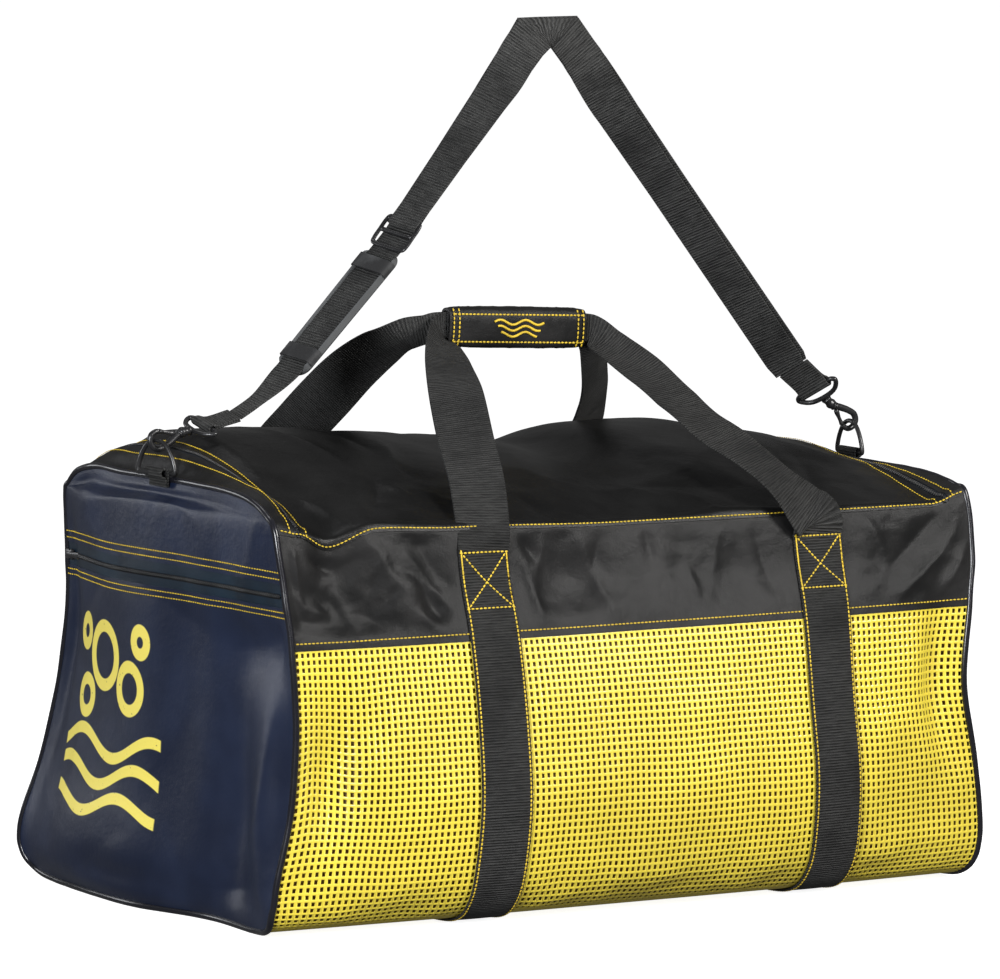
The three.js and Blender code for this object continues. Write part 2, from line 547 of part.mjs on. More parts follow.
function handle(side) {
  const legs = side < 0 ? [LEGS.frontLeft, LEGS.frontRight] : [LEGS.backLeft, LEGS.backRight];
  const places = [];
  const addLeg = (leg, x, end) => {
    const v = side < 0 ? STRIP_TOP_V + LEG_GAP : ROWS - STRIP_TOP_V - LEG_GAP;
    const start = body(uOf(x), v, STRIP_CLEARANCE + WEBBING / 2);
    const finish = gripEnd(end, side);
    return leg.map((row) => ({
      point: V3(...['x', 'y', 'z'].map((axis) => mix(start[axis], finish[axis], row[axis]))),
      width: STRIP_WIDTH * row.width,
      depth: mix(HANDLE_FOLDED_DEPTH, WEBBING, smooth((row.width - 0.55) / 0.4)),
    }));
  };
  places.push(...addLeg(legs[0], STRIP_X.left, -1));
  [-1, -0.5, 0, 0.5, 1].forEach((end) => {
    places.push({ point: gripEnd(end, side), width: HANDLE_FOLDED_WIDTH, depth: HANDLE_FOLDED_DEPTH });
  });
  places.push(...addLeg(legs[1], STRIP_X.right, 1).reverse());
  const curve = new THREE.CatmullRomCurve3(places.map((place) => place.point), false, 'centripetal');
  const last = places.length - 1;
  const stations = [];
  const count = last * 2;
  for (let i = 0; i <= count; i += 1) {
    const k = Math.min(last - 1, Math.floor(i / 2));
    const t = i / 2 - k;
    const tangent = curve.getTangent(i / count);
    const face = V3(0, side, 0);
    const across = tangent.clone().cross(face).normalize();
    stations.push({
      centre: curve.getPoint(i / count),
      across,
      normal: across.clone().cross(tangent).normalize(),
      width: mix(places[k].width, places[k + 1].width, t),
      depth: mix(places[k].depth, places[k + 1].depth, t),
    });
  }
  return ribbon(stations);
}

// The grip: a flattened sleeve round both handles
function roundedBox(width, height, radius) {
  const shape = new THREE.Shape();
  const w = width / 2 - radius;
  const h = height / 2 - radius;
  shape.absarc(w, h, radius, 0, Math.PI / 2);
  shape.absarc(-w, h, radius, Math.PI / 2, Math.PI);
  shape.absarc(-w, -h, radius, Math.PI, Math.PI * 1.5);
  shape.absarc(w, -h, radius, Math.PI * 1.5, Math.PI * 2);
  shape.closePath();
  return shape;
}

function gripWrap() {
  const shape = roundedBox(GRIP_DEPTH, GRIP_HEIGHT, GRIP_DEPTH / 2 - 1);
  const inner = GRIP_DEPTH / 2 - 1 - GRIP_WALL;
  shape.holes.push(roundedBox(GRIP_DEPTH - 2 * GRIP_WALL, GRIP_HEIGHT - 2 * GRIP_WALL, inner));
  const run = { depth: GRIP_LENGTH, steps: 1, bevelEnabled: false, curveSegments: 3 };
  const wrap = new THREE.ExtrudeGeometry(shape, run);
  wrap.translate(0, 0, -GRIP_LENGTH / 2);
  return wrap.applyMatrix4(new THREE.Matrix4().makeBasis(V3(0, 1, 0), V3(0, 0, 1), V3(1, 0, 0)));
}

// Rings and their tabs stand outside each end's piping, at the middle of its top
const TAB_EYE = RING_WIRE + 0.7;
const TAB_OUTER = TAB_EYE + WEBBING;
function ringPlace(sign) {
  const top = outline(sign, 15, 0);
  const standoff = sign < 0 ? TAB_STANDOFF.left : TAB_STANDOFF.right;
  return V3(top.x + sign * (PIPING_RADIUS + standoff + TAB_OUTER), 0, top.z + RING_LIFT);
}

function tab(sign) {
  const inner = -sign * TAB_OUTER;
  const face = inner + sign * 2 * WEBBING;
  const meet = Math.atan2(-Math.sqrt(TAB_OUTER ** 2 - face ** 2), face);
  const shape = new THREE.Shape();
  shape.moveTo(inner, -TAB_LENGTH);
  shape.lineTo(face, -TAB_LENGTH);
  shape.absarc(0, 0, TAB_OUTER, meet, sign > 0 ? Math.PI : 0, sign < 0);
  shape.closePath();
  const eye = new THREE.Path();
  eye.absarc(0, 0, TAB_EYE, 0, Math.PI * 2);
  shape.holes.push(eye);
  const solid = new THREE.ExtrudeGeometry(shape, { depth: TAB_WIDTH, bevelEnabled: false, curveSegments: 8 });
  solid.translate(0, 0, -TAB_WIDTH / 2);
  return solid.rotateX(Math.PI / 2);
}

function closedWire(points, radius) {
  const curve = new THREE.CatmullRomCurve3(points, true, 'centripetal');
  return new THREE.TubeGeometry(curve, RING_FACETS, radius, 5, true);
}

function dRing() {
  const half = RING_WIDTH / 2;
  const points = [-1, -0.8, -0.4, 0, 0.4, 0.8, 1].map((k) => V3(0, k * half, 0));
  points.push(V3(0, half * 0.86, RING_HEIGHT * 0.45), V3(0, half * 0.42, RING_HEIGHT * 0.88));
  points.push(V3(0, 0, RING_HEIGHT));
  points.push(V3(0, -half * 0.42, RING_HEIGHT * 0.88), V3(0, -half * 0.86, RING_HEIGHT * 0.45));
  return closedWire(points, RING_WIRE);
}

// Snap hook, along +x from the strap's slot to the ring, flat in x and z
function hookFrame() {
  const w = FRAME_WIDTH / 2;
  const l = FRAME_LENGTH;
  const points = [-0.86, -0.6, 0, 0.6, 0.86].map((k) => V3(0, 0, k * w));
  points.push(V3(3, 0, w), V3(l - 3, 0, w * 0.75));
  points.push(V3(l, 0, w * 0.4), V3(l, 0, -w * 0.4), V3(l - 3, 0, -w * 0.75), V3(3, 0, -w));
  return closedWire(points, FRAME_WIRE);
}

function wire(points, radii, sides) {
  const curve = new THREE.CatmullRomCurve3(points, false, 'centripetal');
  const count = (points.length - 1) * 2;
  const rings = [];
  for (let i = 0; i <= count; i += 1) {
    const k = Math.min(points.length - 2, Math.floor(i / 2));
    const radius = mix(radii[k], radii[k + 1], i / 2 - k);
    const tangent = curve.getTangent(i / count);
    const across = tangent.clone().cross(V3(0, 1, 0)).normalize();
    const centre = curve.getPoint(i / count);
    rings.push(Array.from({ length: sides }, (_, s) => {
      const angle = (2 * Math.PI * s) / sides;
      const lift = V3(0, radius * Math.sin(angle), 0);
      return centre.clone().addScaledVector(across, radius * Math.cos(angle)).add(lift);
    }));
  }
  return loft(rings);
}

function hookBody() {
  const points = HOOK_WIRE.map((row) => V3(row.x * HOOK_REACH, 0, row.z * HOOK_REACH));
  return wire(points, HOOK_WIRE.map((row) => row.radius), 6);
}

function hookGate() {
  const ends = [GATE_WIRE.from, GATE_WIRE.to].map((end) => V3(end.x * HOOK_REACH, 0, end.z * HOOK_REACH));
  return wire(ends, [GATE_WIRE.radius, GATE_WIRE.radius], 6);
}

// The strap's sewn end: an eye round the slot bar and a double stretch back along the strap
function strapLoop() {
  const eyeRadius = FRAME_WIRE + 0.7;
  const outer = eyeRadius + WEBBING;
  const half = WEBBING + 0.1;
  const shape = new THREE.Shape();
  shape.moveTo(-LOOP_LENGTH, half);
  shape.lineTo(-LOOP_LENGTH, -half);
  const start = Math.asin(half / outer);
  shape.absarc(0, 0, outer, -Math.PI + start, Math.PI - start);
  shape.closePath();
  const eye = new THREE.Path();
  eye.absarc(0, 0, eyeRadius, 0, Math.PI * 2);
  shape.holes.push(eye);
  const width = STRAP_WIDTH - 4;
  const solid = new THREE.ExtrudeGeometry(shape, { depth: width, bevelEnabled: false, curveSegments: 8 });
  return solid.translate(0, 0, -width / 2);
}

// The two snap hooks' places: the ring's top wire lies in the hook's bend
function hookPlace(sign) {
  const ring = ringPlace(sign);
  const tilt = THREE.MathUtils.degToRad(sign < 0 ? HOOK_TILT.left : HOOK_TILT.right);
  const direction = V3(sign * Math.cos(tilt), 0, -Math.sin(tilt));
  const seat = sign < 0 ? HOOK_SEAT.left : HOOK_SEAT.right;
  const wireTop = V3(ring.x, 0, ring.z + RING_HEIGHT);
  return { slot: wireTop.addScaledVector(direction, -HOOK_REACH - seat), direction };
}

// The long strap, laid flat in x and z: legs, the folded top and the stretch through the glide
function strapStations(rows) {
  return rows.map((row, i) => {
    const before = rows[Math.max(0, i - 1)];
    const after = rows[Math.min(rows.length - 1, i + 1)];
    const tangent = V3(after.x - before.x, 0, after.z - before.z).normalize();
    const flat = row.across ?? V3(-tangent.z, 0, tangent.x);
    const across = flat.clone().applyAxisAngle(tangent, row.twist ?? 0);
    const normal = across.clone().cross(tangent).normalize();
    return { centre: V3(row.x, row.y, row.z), across, normal, width: row.width, depth: WEBBING };
  });
}

// Three stations that share the notch and fan out to the flat top
function apexRows(y, shift) {
  const notch = V3(APEX.x, 0, APEX.z - APEX_DROP);
  return [-1, -0.33, 0.33, 1].map((k) => {
    const top = V3(APEX.x + k * APEX_HALF, 0, APEX.z - shift);
    const low = V3(notch.x + k * 1.2, 0, notch.z - shift);
    const across = top.clone().sub(low);
    const centre = top.clone().add(low).multiplyScalar(0.5);
    return { x: centre.x, y, z: centre.z, width: across.length(), across: across.normalize() };
  });
}

function legRows(from, to, y, count) {
  return steps(0, 1, count).slice(1).map((t) => ({
    x: mix(from.x, to.x, t), z: mix(from.z, to.z, t), y, width: STRAP_WIDTH,
  }));
}

function strapEnd(sign) {
  const { slot, direction } = hookPlace(sign);
  const back = LOOP_LENGTH + 5 * GAP;
  const across = V3(-sign * direction.z, 0, sign * direction.x);
  return { x: slot.x - direction.x * back, z: slot.z - direction.z * back, across };
}

const LAYER = LAYER_SPACING / 2;
const APEX_LEFT = { x: APEX.x - APEX_HALF * 0.6, z: APEX.z - APEX_DROP * 0.62 };
const APEX_RIGHT = { x: APEX.x + APEX_HALF * 0.6, z: APEX.z - APEX_DROP * 0.62 };
const END_TWIST = THREE.MathUtils.degToRad(HOOK_SWIVEL.left);
const BEHIND_GLIDE = GLIDE_DEPTH / 2 + GAP + WEBBING / 2;

function longStrap() {
  const right = strapEnd(1);
  const left = strapEnd(-1);
  const down = legRows(right, APEX_RIGHT, LAYER, 6).slice(0, -1);
  const glideIn = legRows(APEX_LEFT, GLIDE, LAYER, 5).slice(0, -1);
  glideIn[glideIn.length - 1].y = BEHIND_GLIDE;
  const behindPad = (share, width) => {
    const x = mix(GLIDE.x, PAD_END.x, share);
    return { x, y: BEHIND_GLIDE, z: mix(GLIDE.z, PAD_END.z, share), width };
  };
  const tail = { x: mix(PAD_END.x, left.x, 0.5), y: BEHIND_GLIDE / 2, z: mix(PAD_END.z, left.z, 0.55) };
  const rows = [
    { ...right, y: LAYER, width: STRAP_WIDTH * 0.9 }, ...down,
    ...apexRows(LAYER, 0).reverse(), ...glideIn,
    behindPad(0, STRAP_WIDTH), behindPad(0.25, STRAP_WIDTH), behindPad(0.6, STRAP_WIDTH),
    behindPad(1, STRAP_WIDTH * 0.95),
    { ...tail, width: STRAP_WIDTH * 0.75, twist: END_TWIST / 3 },
    { ...left, y: 0, width: STRAP_WIDTH * 0.5, twist: END_TWIST },
  ];
  return ribbon(strapStations(rows.reverse()));
}

function returnStrap() {
  const right = strapEnd(1);
  const stop = GLIDE_LENGTH / 2 - GLIDE_BAR;
  const toGlide = legRows(APEX_LEFT, GLIDE, -LAYER, 6).slice(0, -1);
  toGlide.forEach((row) => { row.x += RETURN_SHIFT; });
  toGlide[toGlide.length - 1].y = -BEHIND_GLIDE;
  const leg = V3(APEX_LEFT.x - GLIDE.x, 0, APEX_LEFT.z - GLIDE.z).normalize();
  const rows = [
    { ...right, y: -LAYER, width: STRAP_WIDTH * 0.9 },
    ...legRows(right, APEX_RIGHT, -LAYER, 6).slice(0, -1),
    ...apexRows(-LAYER, 1.5).reverse(), ...toGlide,
    { x: GLIDE.x + leg.x * stop * 0.2, y: -BEHIND_GLIDE, z: GLIDE.z + leg.z * stop * 0.2, width: STRAP_WIDTH },
  ];
  return ribbon(strapStations(rows.reverse()));
}

// Glide and pad are laid along x, then turned onto the strap
function glide() {
  const slot = (GLIDE_LENGTH - 3 * GLIDE_BAR) / 2;
  const xs = [-GLIDE_LENGTH / 2, -GLIDE_BAR / 2 - slot, -GLIDE_BAR / 2];
  const across = [-GLIDE_WIDTH / 2, -GLIDE_WIDTH / 2 + GLIDE_BAR];
  const corner = (x, z) => (Math.abs(x) === GLIDE_LENGTH / 2 && Math.abs(z) === GLIDE_WIDTH / 2 ? 0.9 : 1);
  const place = (x, z, inner) => V3(x * corner(x, z), (inner ? 0.5 : -0.5) * GLIDE_DEPTH, z * corner(x, z));
  const isSlot = (i, j) => i % 2 === 1 && j === 1;
  const bothSides = (places) => [...places, ...places.map((k) => -k).reverse()];
  return wall(bothSides(xs), bothSides(across), place, isSlot);
}

const PAD_TAPER = [
  { at: 0.6, share: 1 }, { at: 0.86, share: 0.96 }, { at: 0.97, share: 0.78 }, { at: 1, share: 0.55 },
];
const PAD_SPAN = Math.hypot(GLIDE.x - PAD_END.x, GLIDE.z - PAD_END.z) - GLIDE_LENGTH / 2 - 2;
function pad() {
  const half = PAD_SPAN / 2;
  const w = PAD_WIDTH / 2;
  const rings = [];
  const nearHalf = PAD_TAPER.map(({ at, share }) => ({ at: -at, share })).reverse();
  for (const { at, share } of [...nearHalf, ...PAD_TAPER]) {
    const x = at * half;
    const width = w * share;
    const depth = PAD_DEPTH * mix(0.55, 1, smooth((1 - Math.abs(at)) / 0.3));
    const crest = width * 0.72;
    rings.push([
      V3(x, 0, -width), V3(x, 0, width), V3(x, 2, width),
      V3(x, depth, crest), V3(x, depth, -crest), V3(x, 2, -width),
    ]);
  }
  return loft(rings);
}

// A bridge of the pad over the strap's face, one near each end
function bridge() {
  const h = STRAP_WIDTH / 2 + 3.5;
  const inner = WEBBING + 2 * GAP;
  const shape = new THREE.Shape();
  shape.moveTo(-h, 0);
  shape.lineTo(-h, -inner - BRIDGE_DEPTH);
  shape.lineTo(h, -inner - BRIDGE_DEPTH);
  shape.lineTo(h, 0);
  shape.lineTo(h - BRIDGE_DEPTH, 0);
  shape.lineTo(h - BRIDGE_DEPTH, -inner);
  shape.lineTo(-h + BRIDGE_DEPTH, -inner);
  shape.lineTo(-h + BRIDGE_DEPTH, 0);
  const solid = new THREE.ExtrudeGeometry(shape, { depth: BRIDGE_LENGTH, bevelEnabled: false });
  solid.translate(0, 0, -BRIDGE_LENGTH / 2);
  return solid.applyMatrix4(new THREE.Matrix4().makeBasis(V3(0, 0, 1), V3(0, 1, 0), V3(-1, 0, 0)));
}

// Assembly
const bag = new THREE.Group();
function add(name, finish, geometry, parent = bag) {
  const [color, roughness] = COLOURS[finish];
  const material = new THREE.MeshStandardMaterial({ color, roughness, metalness: 0 });
  const mesh = new THREE.Mesh(geometry, material);
  mesh.name = name;
  parent.add(mesh);
  return mesh;
}

add('mesh_front', 'mesh', netWall(inset(FRONT_LINES, SEAM_GAP, SEAM_GAP), FRONT_WINDOWS));
add('mesh_bottom', 'mesh', netWall(BOTTOM_LINES, BOTTOM_WINDOWS));
add('mesh_back', 'mesh', netWall(inset(mirrored(FRONT_LINES), SEAM_GAP, SEAM_GAP), BACK_WINDOWS));
add('band_front', 'coated', bandWall(BAND_LINES));
add('band_back', 'coated', bandWall(mirrored(BAND_LINES)));
add('lid_panel', 'coated', lidPanel());
add('lid_zipper', 'zipper', lidRim(ZIP_U.outer, ZIP_U.inner, [LID_ZIP_BACK.inner, LID_ZIP_BACK.outer]));
const borderBack = [LID_ZIP_BACK.inner, LID_ZIP_BACK.outer + 3 * SEAM_GAP, ROWS - TOP_SEAM - SEAM_GAP];
add('lid_border', 'coated', lidRim(END_GAP, ZIP_U.outer - U_GAP, borderBack));
const ZIP_MIDDLE = (LID_ZIP_BACK.inner + LID_ZIP_BACK.outer) / 2;
add('lid_slider', 'plastic', patch(0.5, ZIP_MIDDLE, SLIDER_LENGTH, SLIDER_WIDTH, SLIDER_DEPTH, GAP));
const pullPlace = 0.5 + (SLIDER_LENGTH + PULL_LENGTH) / 2 / LENGTH + U_GAP;
add('lid_pull', 'plastic', patch(pullPlace, ZIP_MIDDLE, PULL_LENGTH, PULL_WIDTH, PULL_DEPTH, PULL_LIFT));

const ZIP_LOW = endShare(POCKET_ZIP_HEIGHT - POCKET_ZIP_WIDTH / 2);
const ZIP_HIGH = endShare(POCKET_ZIP_HEIGHT + POCKET_ZIP_WIDTH / 2);
const T_GAP = 0.0012;
add('pocket_panel_left', 'navy', endWall(-1, 0, ZIP_LOW - T_GAP));
add('pocket_zipper', 'zipper', endWall(-1, ZIP_LOW, ZIP_HIGH));
add('end_panel_left', 'navy', endWall(-1, ZIP_HIGH + T_GAP, 1));
add('end_panel_right', 'navy', endWall(1, 0, 1));
add('piping_left', 'piping', piping(-1));
add('piping_right', 'piping', piping(1));

// The pocket's slider and pull, at the back end of its zipper
const zipMiddle = (ZIP_LOW + ZIP_HIGH) / 2;
const sliderPlace = endPoint(-1, 0.955, zipMiddle, GAP + SLIDER_DEPTH / 2);
const sliderBox = new THREE.BoxGeometry(SLIDER_DEPTH, SLIDER_LENGTH, SLIDER_WIDTH);
const slider = add('pocket_slider', 'plastic', sliderBox);
slider.position.copy(sliderPlace).add(V3(-1, 0, 0));
const pull = add('pocket_pull', 'plastic', new THREE.BoxGeometry(PULL_DEPTH, PULL_LENGTH, PULL_WIDTH));
const pullStep = V3(-SLIDER_DEPTH / 2 - PULL_DEPTH / 2 - GAP, 4 - PULL_LENGTH / 2, 0);
pull.position.copy(slider.position).add(pullStep);

add('girth_strip_left', 'webbing', girthStrip(STRIP_X.left));
add('girth_strip_right', 'webbing', girthStrip(STRIP_X.right));
add('handle_front', 'webbing', handle(-1));
add('handle_back', 'webbing', handle(1));
const grip = add('grip_wrap', 'coated', gripWrap());
grip.position.set(GRIP_CENTRE.x, GRIP_CENTRE.y, GRIP_CENTRE.z);
grip.rotation.y = Math.atan2(GRIP_DROP, GRIP_LENGTH);

for (const [side, sign] of [['left', -1], ['right', 1]]) {
  const place = ringPlace(sign);
  add(`ring_tab_${side}`, 'webbing', tab(sign)).position.copy(place);
  add(`d_ring_${side}`, 'plastic', dRing()).position.copy(place);
  const { slot, direction } = hookPlace(sign);
  const hook = new THREE.Group();
  hook.position.copy(slot);
  hook.rotation.y = Math.atan2(-direction.z, direction.x);
  bag.add(hook);
  const swivel = new THREE.Group();
  swivel.rotation.x = THREE.MathUtils.degToRad(HOOK_SWIVEL[side]);
  hook.add(swivel);
  add(`hook_frame_${side}`, 'plastic', hookFrame(), swivel);
  add(`hook_body_${side}`, 'plastic', hookBody(), hook);
  add(`hook_gate_${side}`, 'plastic', hookGate(), hook);
  add(`strap_loop_${side}`, 'webbing', strapLoop(), swivel);
}

add('shoulder_strap', 'webbing', longStrap());
add('strap_return', 'webbing', returnStrap());
const onStrap = new THREE.Group();
onStrap.position.set(GLIDE.x, 0, GLIDE.z);
const legAngle = Math.atan2(APEX_LEFT.z - GLIDE.z, APEX_LEFT.x - GLIDE.x);
onStrap.rotation.y = -legAngle;
bag.add(onStrap);
add('strap_glide', 'plastic', glide(), onStrap);
const padGroup = new THREE.Group();
const padMiddle = 0.5 + (GLIDE_LENGTH / 2 + 2) / 2 / Math.hypot(GLIDE.x - PAD_END.x, GLIDE.z - PAD_END.z);
const padPlace = V3(mix(GLIDE.x, PAD_END.x, padMiddle), 0, mix(GLIDE.z, PAD_END.z, padMiddle));
padPlace.y = BEHIND_GLIDE + WEBBING / 2 + GAP;
padGroup.position.copy(padPlace);
padGroup.rotation.y = -Math.atan2(GLIDE.z - PAD_END.z, GLIDE.x - PAD_END.x);
bag.add(padGroup);
add('shoulder_pad', 'rubber', pad(), padGroup);
[['upper', 1], ['lower', -1]].forEach(([name, side]) => {
  const strapBridge = add(`pad_bridge_${name}`, 'rubber', bridge(), padGroup);
  strapBridge.position.set(side * (PAD_SPAN / 2 - PAD_TIP - BRIDGE_LENGTH / 2), -GAP, 0);
});

bag.position.set(-APEX.x, 0, -APEX.z);
const root = new THREE.Group();
root.add(bag);
export default root;
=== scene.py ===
"""Mesh gear duffel bag: its net, coated cloth, webbing, zippers, stitches and plastic hardware."""

import math

import bpy
import numpy as np
from mathutils import Matrix, Vector


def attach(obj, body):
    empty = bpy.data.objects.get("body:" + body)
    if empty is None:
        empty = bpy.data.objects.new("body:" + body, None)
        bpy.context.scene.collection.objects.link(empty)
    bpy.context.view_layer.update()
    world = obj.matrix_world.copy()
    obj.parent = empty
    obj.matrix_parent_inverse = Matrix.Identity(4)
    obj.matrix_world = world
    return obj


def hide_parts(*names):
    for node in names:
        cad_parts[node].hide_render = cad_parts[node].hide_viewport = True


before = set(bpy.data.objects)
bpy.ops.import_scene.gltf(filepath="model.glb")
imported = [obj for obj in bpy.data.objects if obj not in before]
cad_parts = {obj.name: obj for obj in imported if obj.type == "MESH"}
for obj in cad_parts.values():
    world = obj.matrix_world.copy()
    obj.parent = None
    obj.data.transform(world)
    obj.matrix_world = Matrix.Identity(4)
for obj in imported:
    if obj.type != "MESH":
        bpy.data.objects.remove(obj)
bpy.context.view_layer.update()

bl_info = {
    "name": "Mesh gear duffel bag",
    "version": (1, 0, 0),
    "blender": (4, 5, 0),
    "location": "3D Viewport > Sidebar > Bag",
    "description": "Builds a net duffel bag with webbing handles and a clip-on shoulder strap",
    "category": "Object",
}

# Sizes in millimetres, with the bag standing on z = 0. The row's origin is the strap's top.
LENGTH = 700
WIDTH = 410
MESH_HEIGHT = 252
BAND_HEIGHT = 92
LID_RISE = 60
BULGE = 36
FLARE = 20
END_BELLY = 16
SEAM_WAVE = 8
FOLD_DEPTH = 12
CLOTH = 1.2
WEBBING = 2
STRIP_STANDS = 2.7
PIPING_RADIUS = 3
ZIP_OUTER = 16
ZIP_INNER = 27
POCKET_ZIP = (282, 305)
STRIP_WIDTH = 50
STRIP_X = (-150, 192)
STRIP_TOP = 323
GRIP = (3, 0, 503)
GRIP_LENGTH = 142
GRIP_HEIGHT = 36
GRIP_DEPTH = 19
GRIP_DROP = 7
GRIP_LEAD = 5
HANDLE_FOLDED = 26
HANDLE_SPACING = 7.6
STRAP_WIDTH = 37
APEX = (40, 782)
APEX_HALF = 30
APEX_DROP = 27
LAYER = 1.3
RETURN_SHIFT = -3
GLIDE = (-118, 592)
GLIDE_LENGTH = 34
GLIDE_WIDTH = 49
GLIDE_DEPTH = 3
GLIDE_BAR = 4.5
BEHIND_GLIDE = 2.85
PAD_END = (-229, 477)
PAD_WIDTH = 44
PAD_DEPTH = 7
RING_WIDTH = 42
RING_HEIGHT = 28
RING_WIRE = 2.1
RING_LIFT = 5
RING_TURN = {-1: math.radians(22), 1: 0.0}
TAB_OUTER = 4.8
TAB_WIDTH = 32
TAB_LENGTH = 12
TAB_STANDOFF = {-1: 0.4, 1: 2.7}
LOOP_LENGTH = 30
HOOK_REACH = 48
HOOK_SEAT = {-1: 1.8, 1: 2.3}
HOOK_TILT = {-1: math.radians(13.5), 1: math.radians(40)}
HOOK_SWIVEL = {-1: math.radians(75), 1: math.radians(50)}
FRAME_WIDTH = 44
FRAME_LENGTH = 13
FRAME_WIRE = 2.3

# Round the bag: depth, bulge, zone (0 net, 1 band, 2 lid), height, dome, flare left, flare right
GIRTH = np.array([
    (0.10, 0.00, 0, 0.00, 0.00, 1.00, 0.40), (-0.35, 0.00, 0, 0.00, 0.00, -0.10, 0.40),
    (-0.76, 0.00, 0, 0.00, 0.00, 0.05, 0.40), (-0.96, 0.30, 0, 0.02, 0.02, 0.35, 0.50),
    (-1.03, 0.62, 0, 0.09, 0.09, 0.45, 0.80), (-1.05, 0.90, 0, 0.21, 0.21, 0.30, 0.85),
    (-1.07, 1.00, 0, 0.44, 0.44, -0.25, 0.40), (-1.08, 0.70, 0, 0.72, 0.72, -0.45, -0.25),
    (-1.07, 0.33, 0, 1.00, 1.00, -0.30, 0.10), (-1.04, 0.05, 1, 0.50, 0.50, -0.10, 0.40),
    (-1.00, 0.00, 1, 1.00, 1.00, 0.10, 0.30), (-0.93, 0.00, 2, 0.45, 0.14, 0.10, 0.20),
    (-0.78, 0.00, 2, 0.82, 0.36, 0.10, 0.10), (-0.58, 0.00, 2, 0.97, 0.59, 0.10, 0.10),
    (-0.30, 0.00, 2, 1.00, 0.83, 0.10, 0.10), (0.05, 0.00, 2, 1.00, 1.00, 0.10, 0.10),
    (0.38, 0.00, 2, 0.97, 0.97, 0.10, 0.10), (0.62, 0.00, 2, 1.00, 0.80, 0.10, 0.10),
    (0.80, 0.00, 2, 0.80, 0.50, 0.10, 0.10), (0.90, 0.05, 2, 0.40, 0.22, 0.10, 0.20),
    (0.94, 0.10, 1, 1.00, 1.00, 0.10, 0.30), (0.96, 0.30, 1, 0.50, 0.50, -0.10, 0.40),
    (0.98, 0.60, 0, 1.00, 1.00, -0.20, 0.10), (1.05, 0.75, 0, 0.72, 0.72, -0.10, -0.25),
    (1.13, 0.60, 0, 0.44, 0.44, 0.35, 0.40), (1.19, 0.30, 0, 0.21, 0.21, 1.10, 0.85),
    (1.19, 0.10, 0, 0.09, 0.09, 1.15, 0.80), (1.11, 0.00, 0, 0.02, 0.02, 0.80, 0.50),
    (0.86, 0.00, 0, 0.00, 0.00, 0.85, 0.40), (0.48, 0.00, 0, 0.00, 0.00, 1.10, 0.40),
])
ROWS = len(GIRTH)
TURN = 2.5
BAND_SEAM = 8
TOP_SEAM = 10
ZIP_BACK = (18.35, 18.9)
END_CORNER = (3.3, 12)
STRIP_TOP_V = BAND_SEAM + 2 * (STRIP_TOP - MESH_HEIGHT) / BAND_HEIGHT

# Along the bag: crown of the lid and wave of the top seam
CROWN = [(0, 0.63), (0.03, 0.95), (0.065, 1.16), (0.17, 1.14), (0.42, 1.0), (0.53, 0.9), (0.63, 1.0),
         (0.75, 0.96), (0.82, 0.87), (0.9, 0.75), (0.95, 0.62), (1, 0.36)]
SEAM = [(0, 0.9), (0.03, 0.4), (0.075, -1.0), (0.14, 0.5), (0.25, 0.1), (0.5, -0.4), (0.8, -0.5),
        (0.95, -0.5), (1, 0.7)]
# Soft dents: along, round, span along, span round, share of FOLD_DEPTH
DENTS = [(0.075, 9.3, 0.03, 0.8, 1.0), (0.055, 6.4, 0.03, 1.0, 1.1), (0.955, 7.0, 0.025, 1.0, 0.9),
         (0.17, 9.2, 0.03, 0.5, -0.5), (0.40, 8.9, 0.05, 0.6, 0.5), (0.55, 15.5, 0.05, 2.5, 0.6),
         (0.12, 23.0, 0.05, 1.0, 0.7), (0.86, 23.5, 0.05, 1.0, 0.7)]
END_DENTS = {
    -1: [(0.22, 0.10, 0.12, 0.25, 1.1), (0.86, 0.88, 0.10, 0.07, 0.7), (0.35, 0.45, 0.05, 0.30, -0.4)],
    1: [(0.70, 0.20, 0.15, 0.25, 0.9), (0.30, 0.80, 0.12, 0.10, 0.6)],
}
# Soft lobes of the ends' cloth: across, up, span across, span up, height in millimetres
END_LOBES = {
    -1: [(0.13, 0.30, 0.085, 0.17, 15), (0.27, 0.26, 0.05, 0.20, -9), (0.16, 0.53, 0.16, 0.06, -11),
         (0.60, 0.62, 0.20, 0.12, 5), (0.80, 0.10, 0.14, 0.07, 7), (0.93, 0.50, 0.04, 0.20, -5),
         (0.55, 0.90, 0.20, 0.035, -8), (0.82, 0.86, 0.06, 0.06, 7), (0.55, 0.12, 0.12, 0.05, -6)],
    1: [(0.30, 0.30, 0.15, 0.15, 8), (0.75, 0.55, 0.15, 0.15, -7), (0.55, 0.85, 0.2, 0.05, 5)],
}
# Sharp folds of the front band: from x and z to x and z in millimetres, half width, depth
BAND_FOLDS = [
    (-338, 338, -334, 285, 5, 2.6), (-322, 326, -288, 320, 9, -3.4), (-300, 312, -282, 262, 8, 2.0),
    (-262, 334, -238, 300, 9, 3.0), (-236, 300, -262, 276, 6, -1.8), (-226, 322, -169, 254, 6, 2.6),
    (-214, 300, -196, 262, 9, -2.2), (-118, 338, -92, 312, 6, -2.8), (-112, 318, -98, 262, 7, 2.2),
    (-84, 336, -100, 296, 7, 1.6), (-52, 338, -26, 262, 9, 2.4), (-30, 330, -44, 290, 8, -1.6),
    (17, 334, 20, 308, 6, -1.6), (55, 310, 62, 272, 7, 1.8), (92, 332, 74, 270, 10, 1.4),
    (128, 330, 140, 280, 9, -1.8), (246, 334, 262, 300, 8, 2.0), (340, 322, 262, 250, 9, 3.0),
    (318, 334, 268, 292, 8, -2.2), (344, 300, 316, 258, 7, 1.8),
]
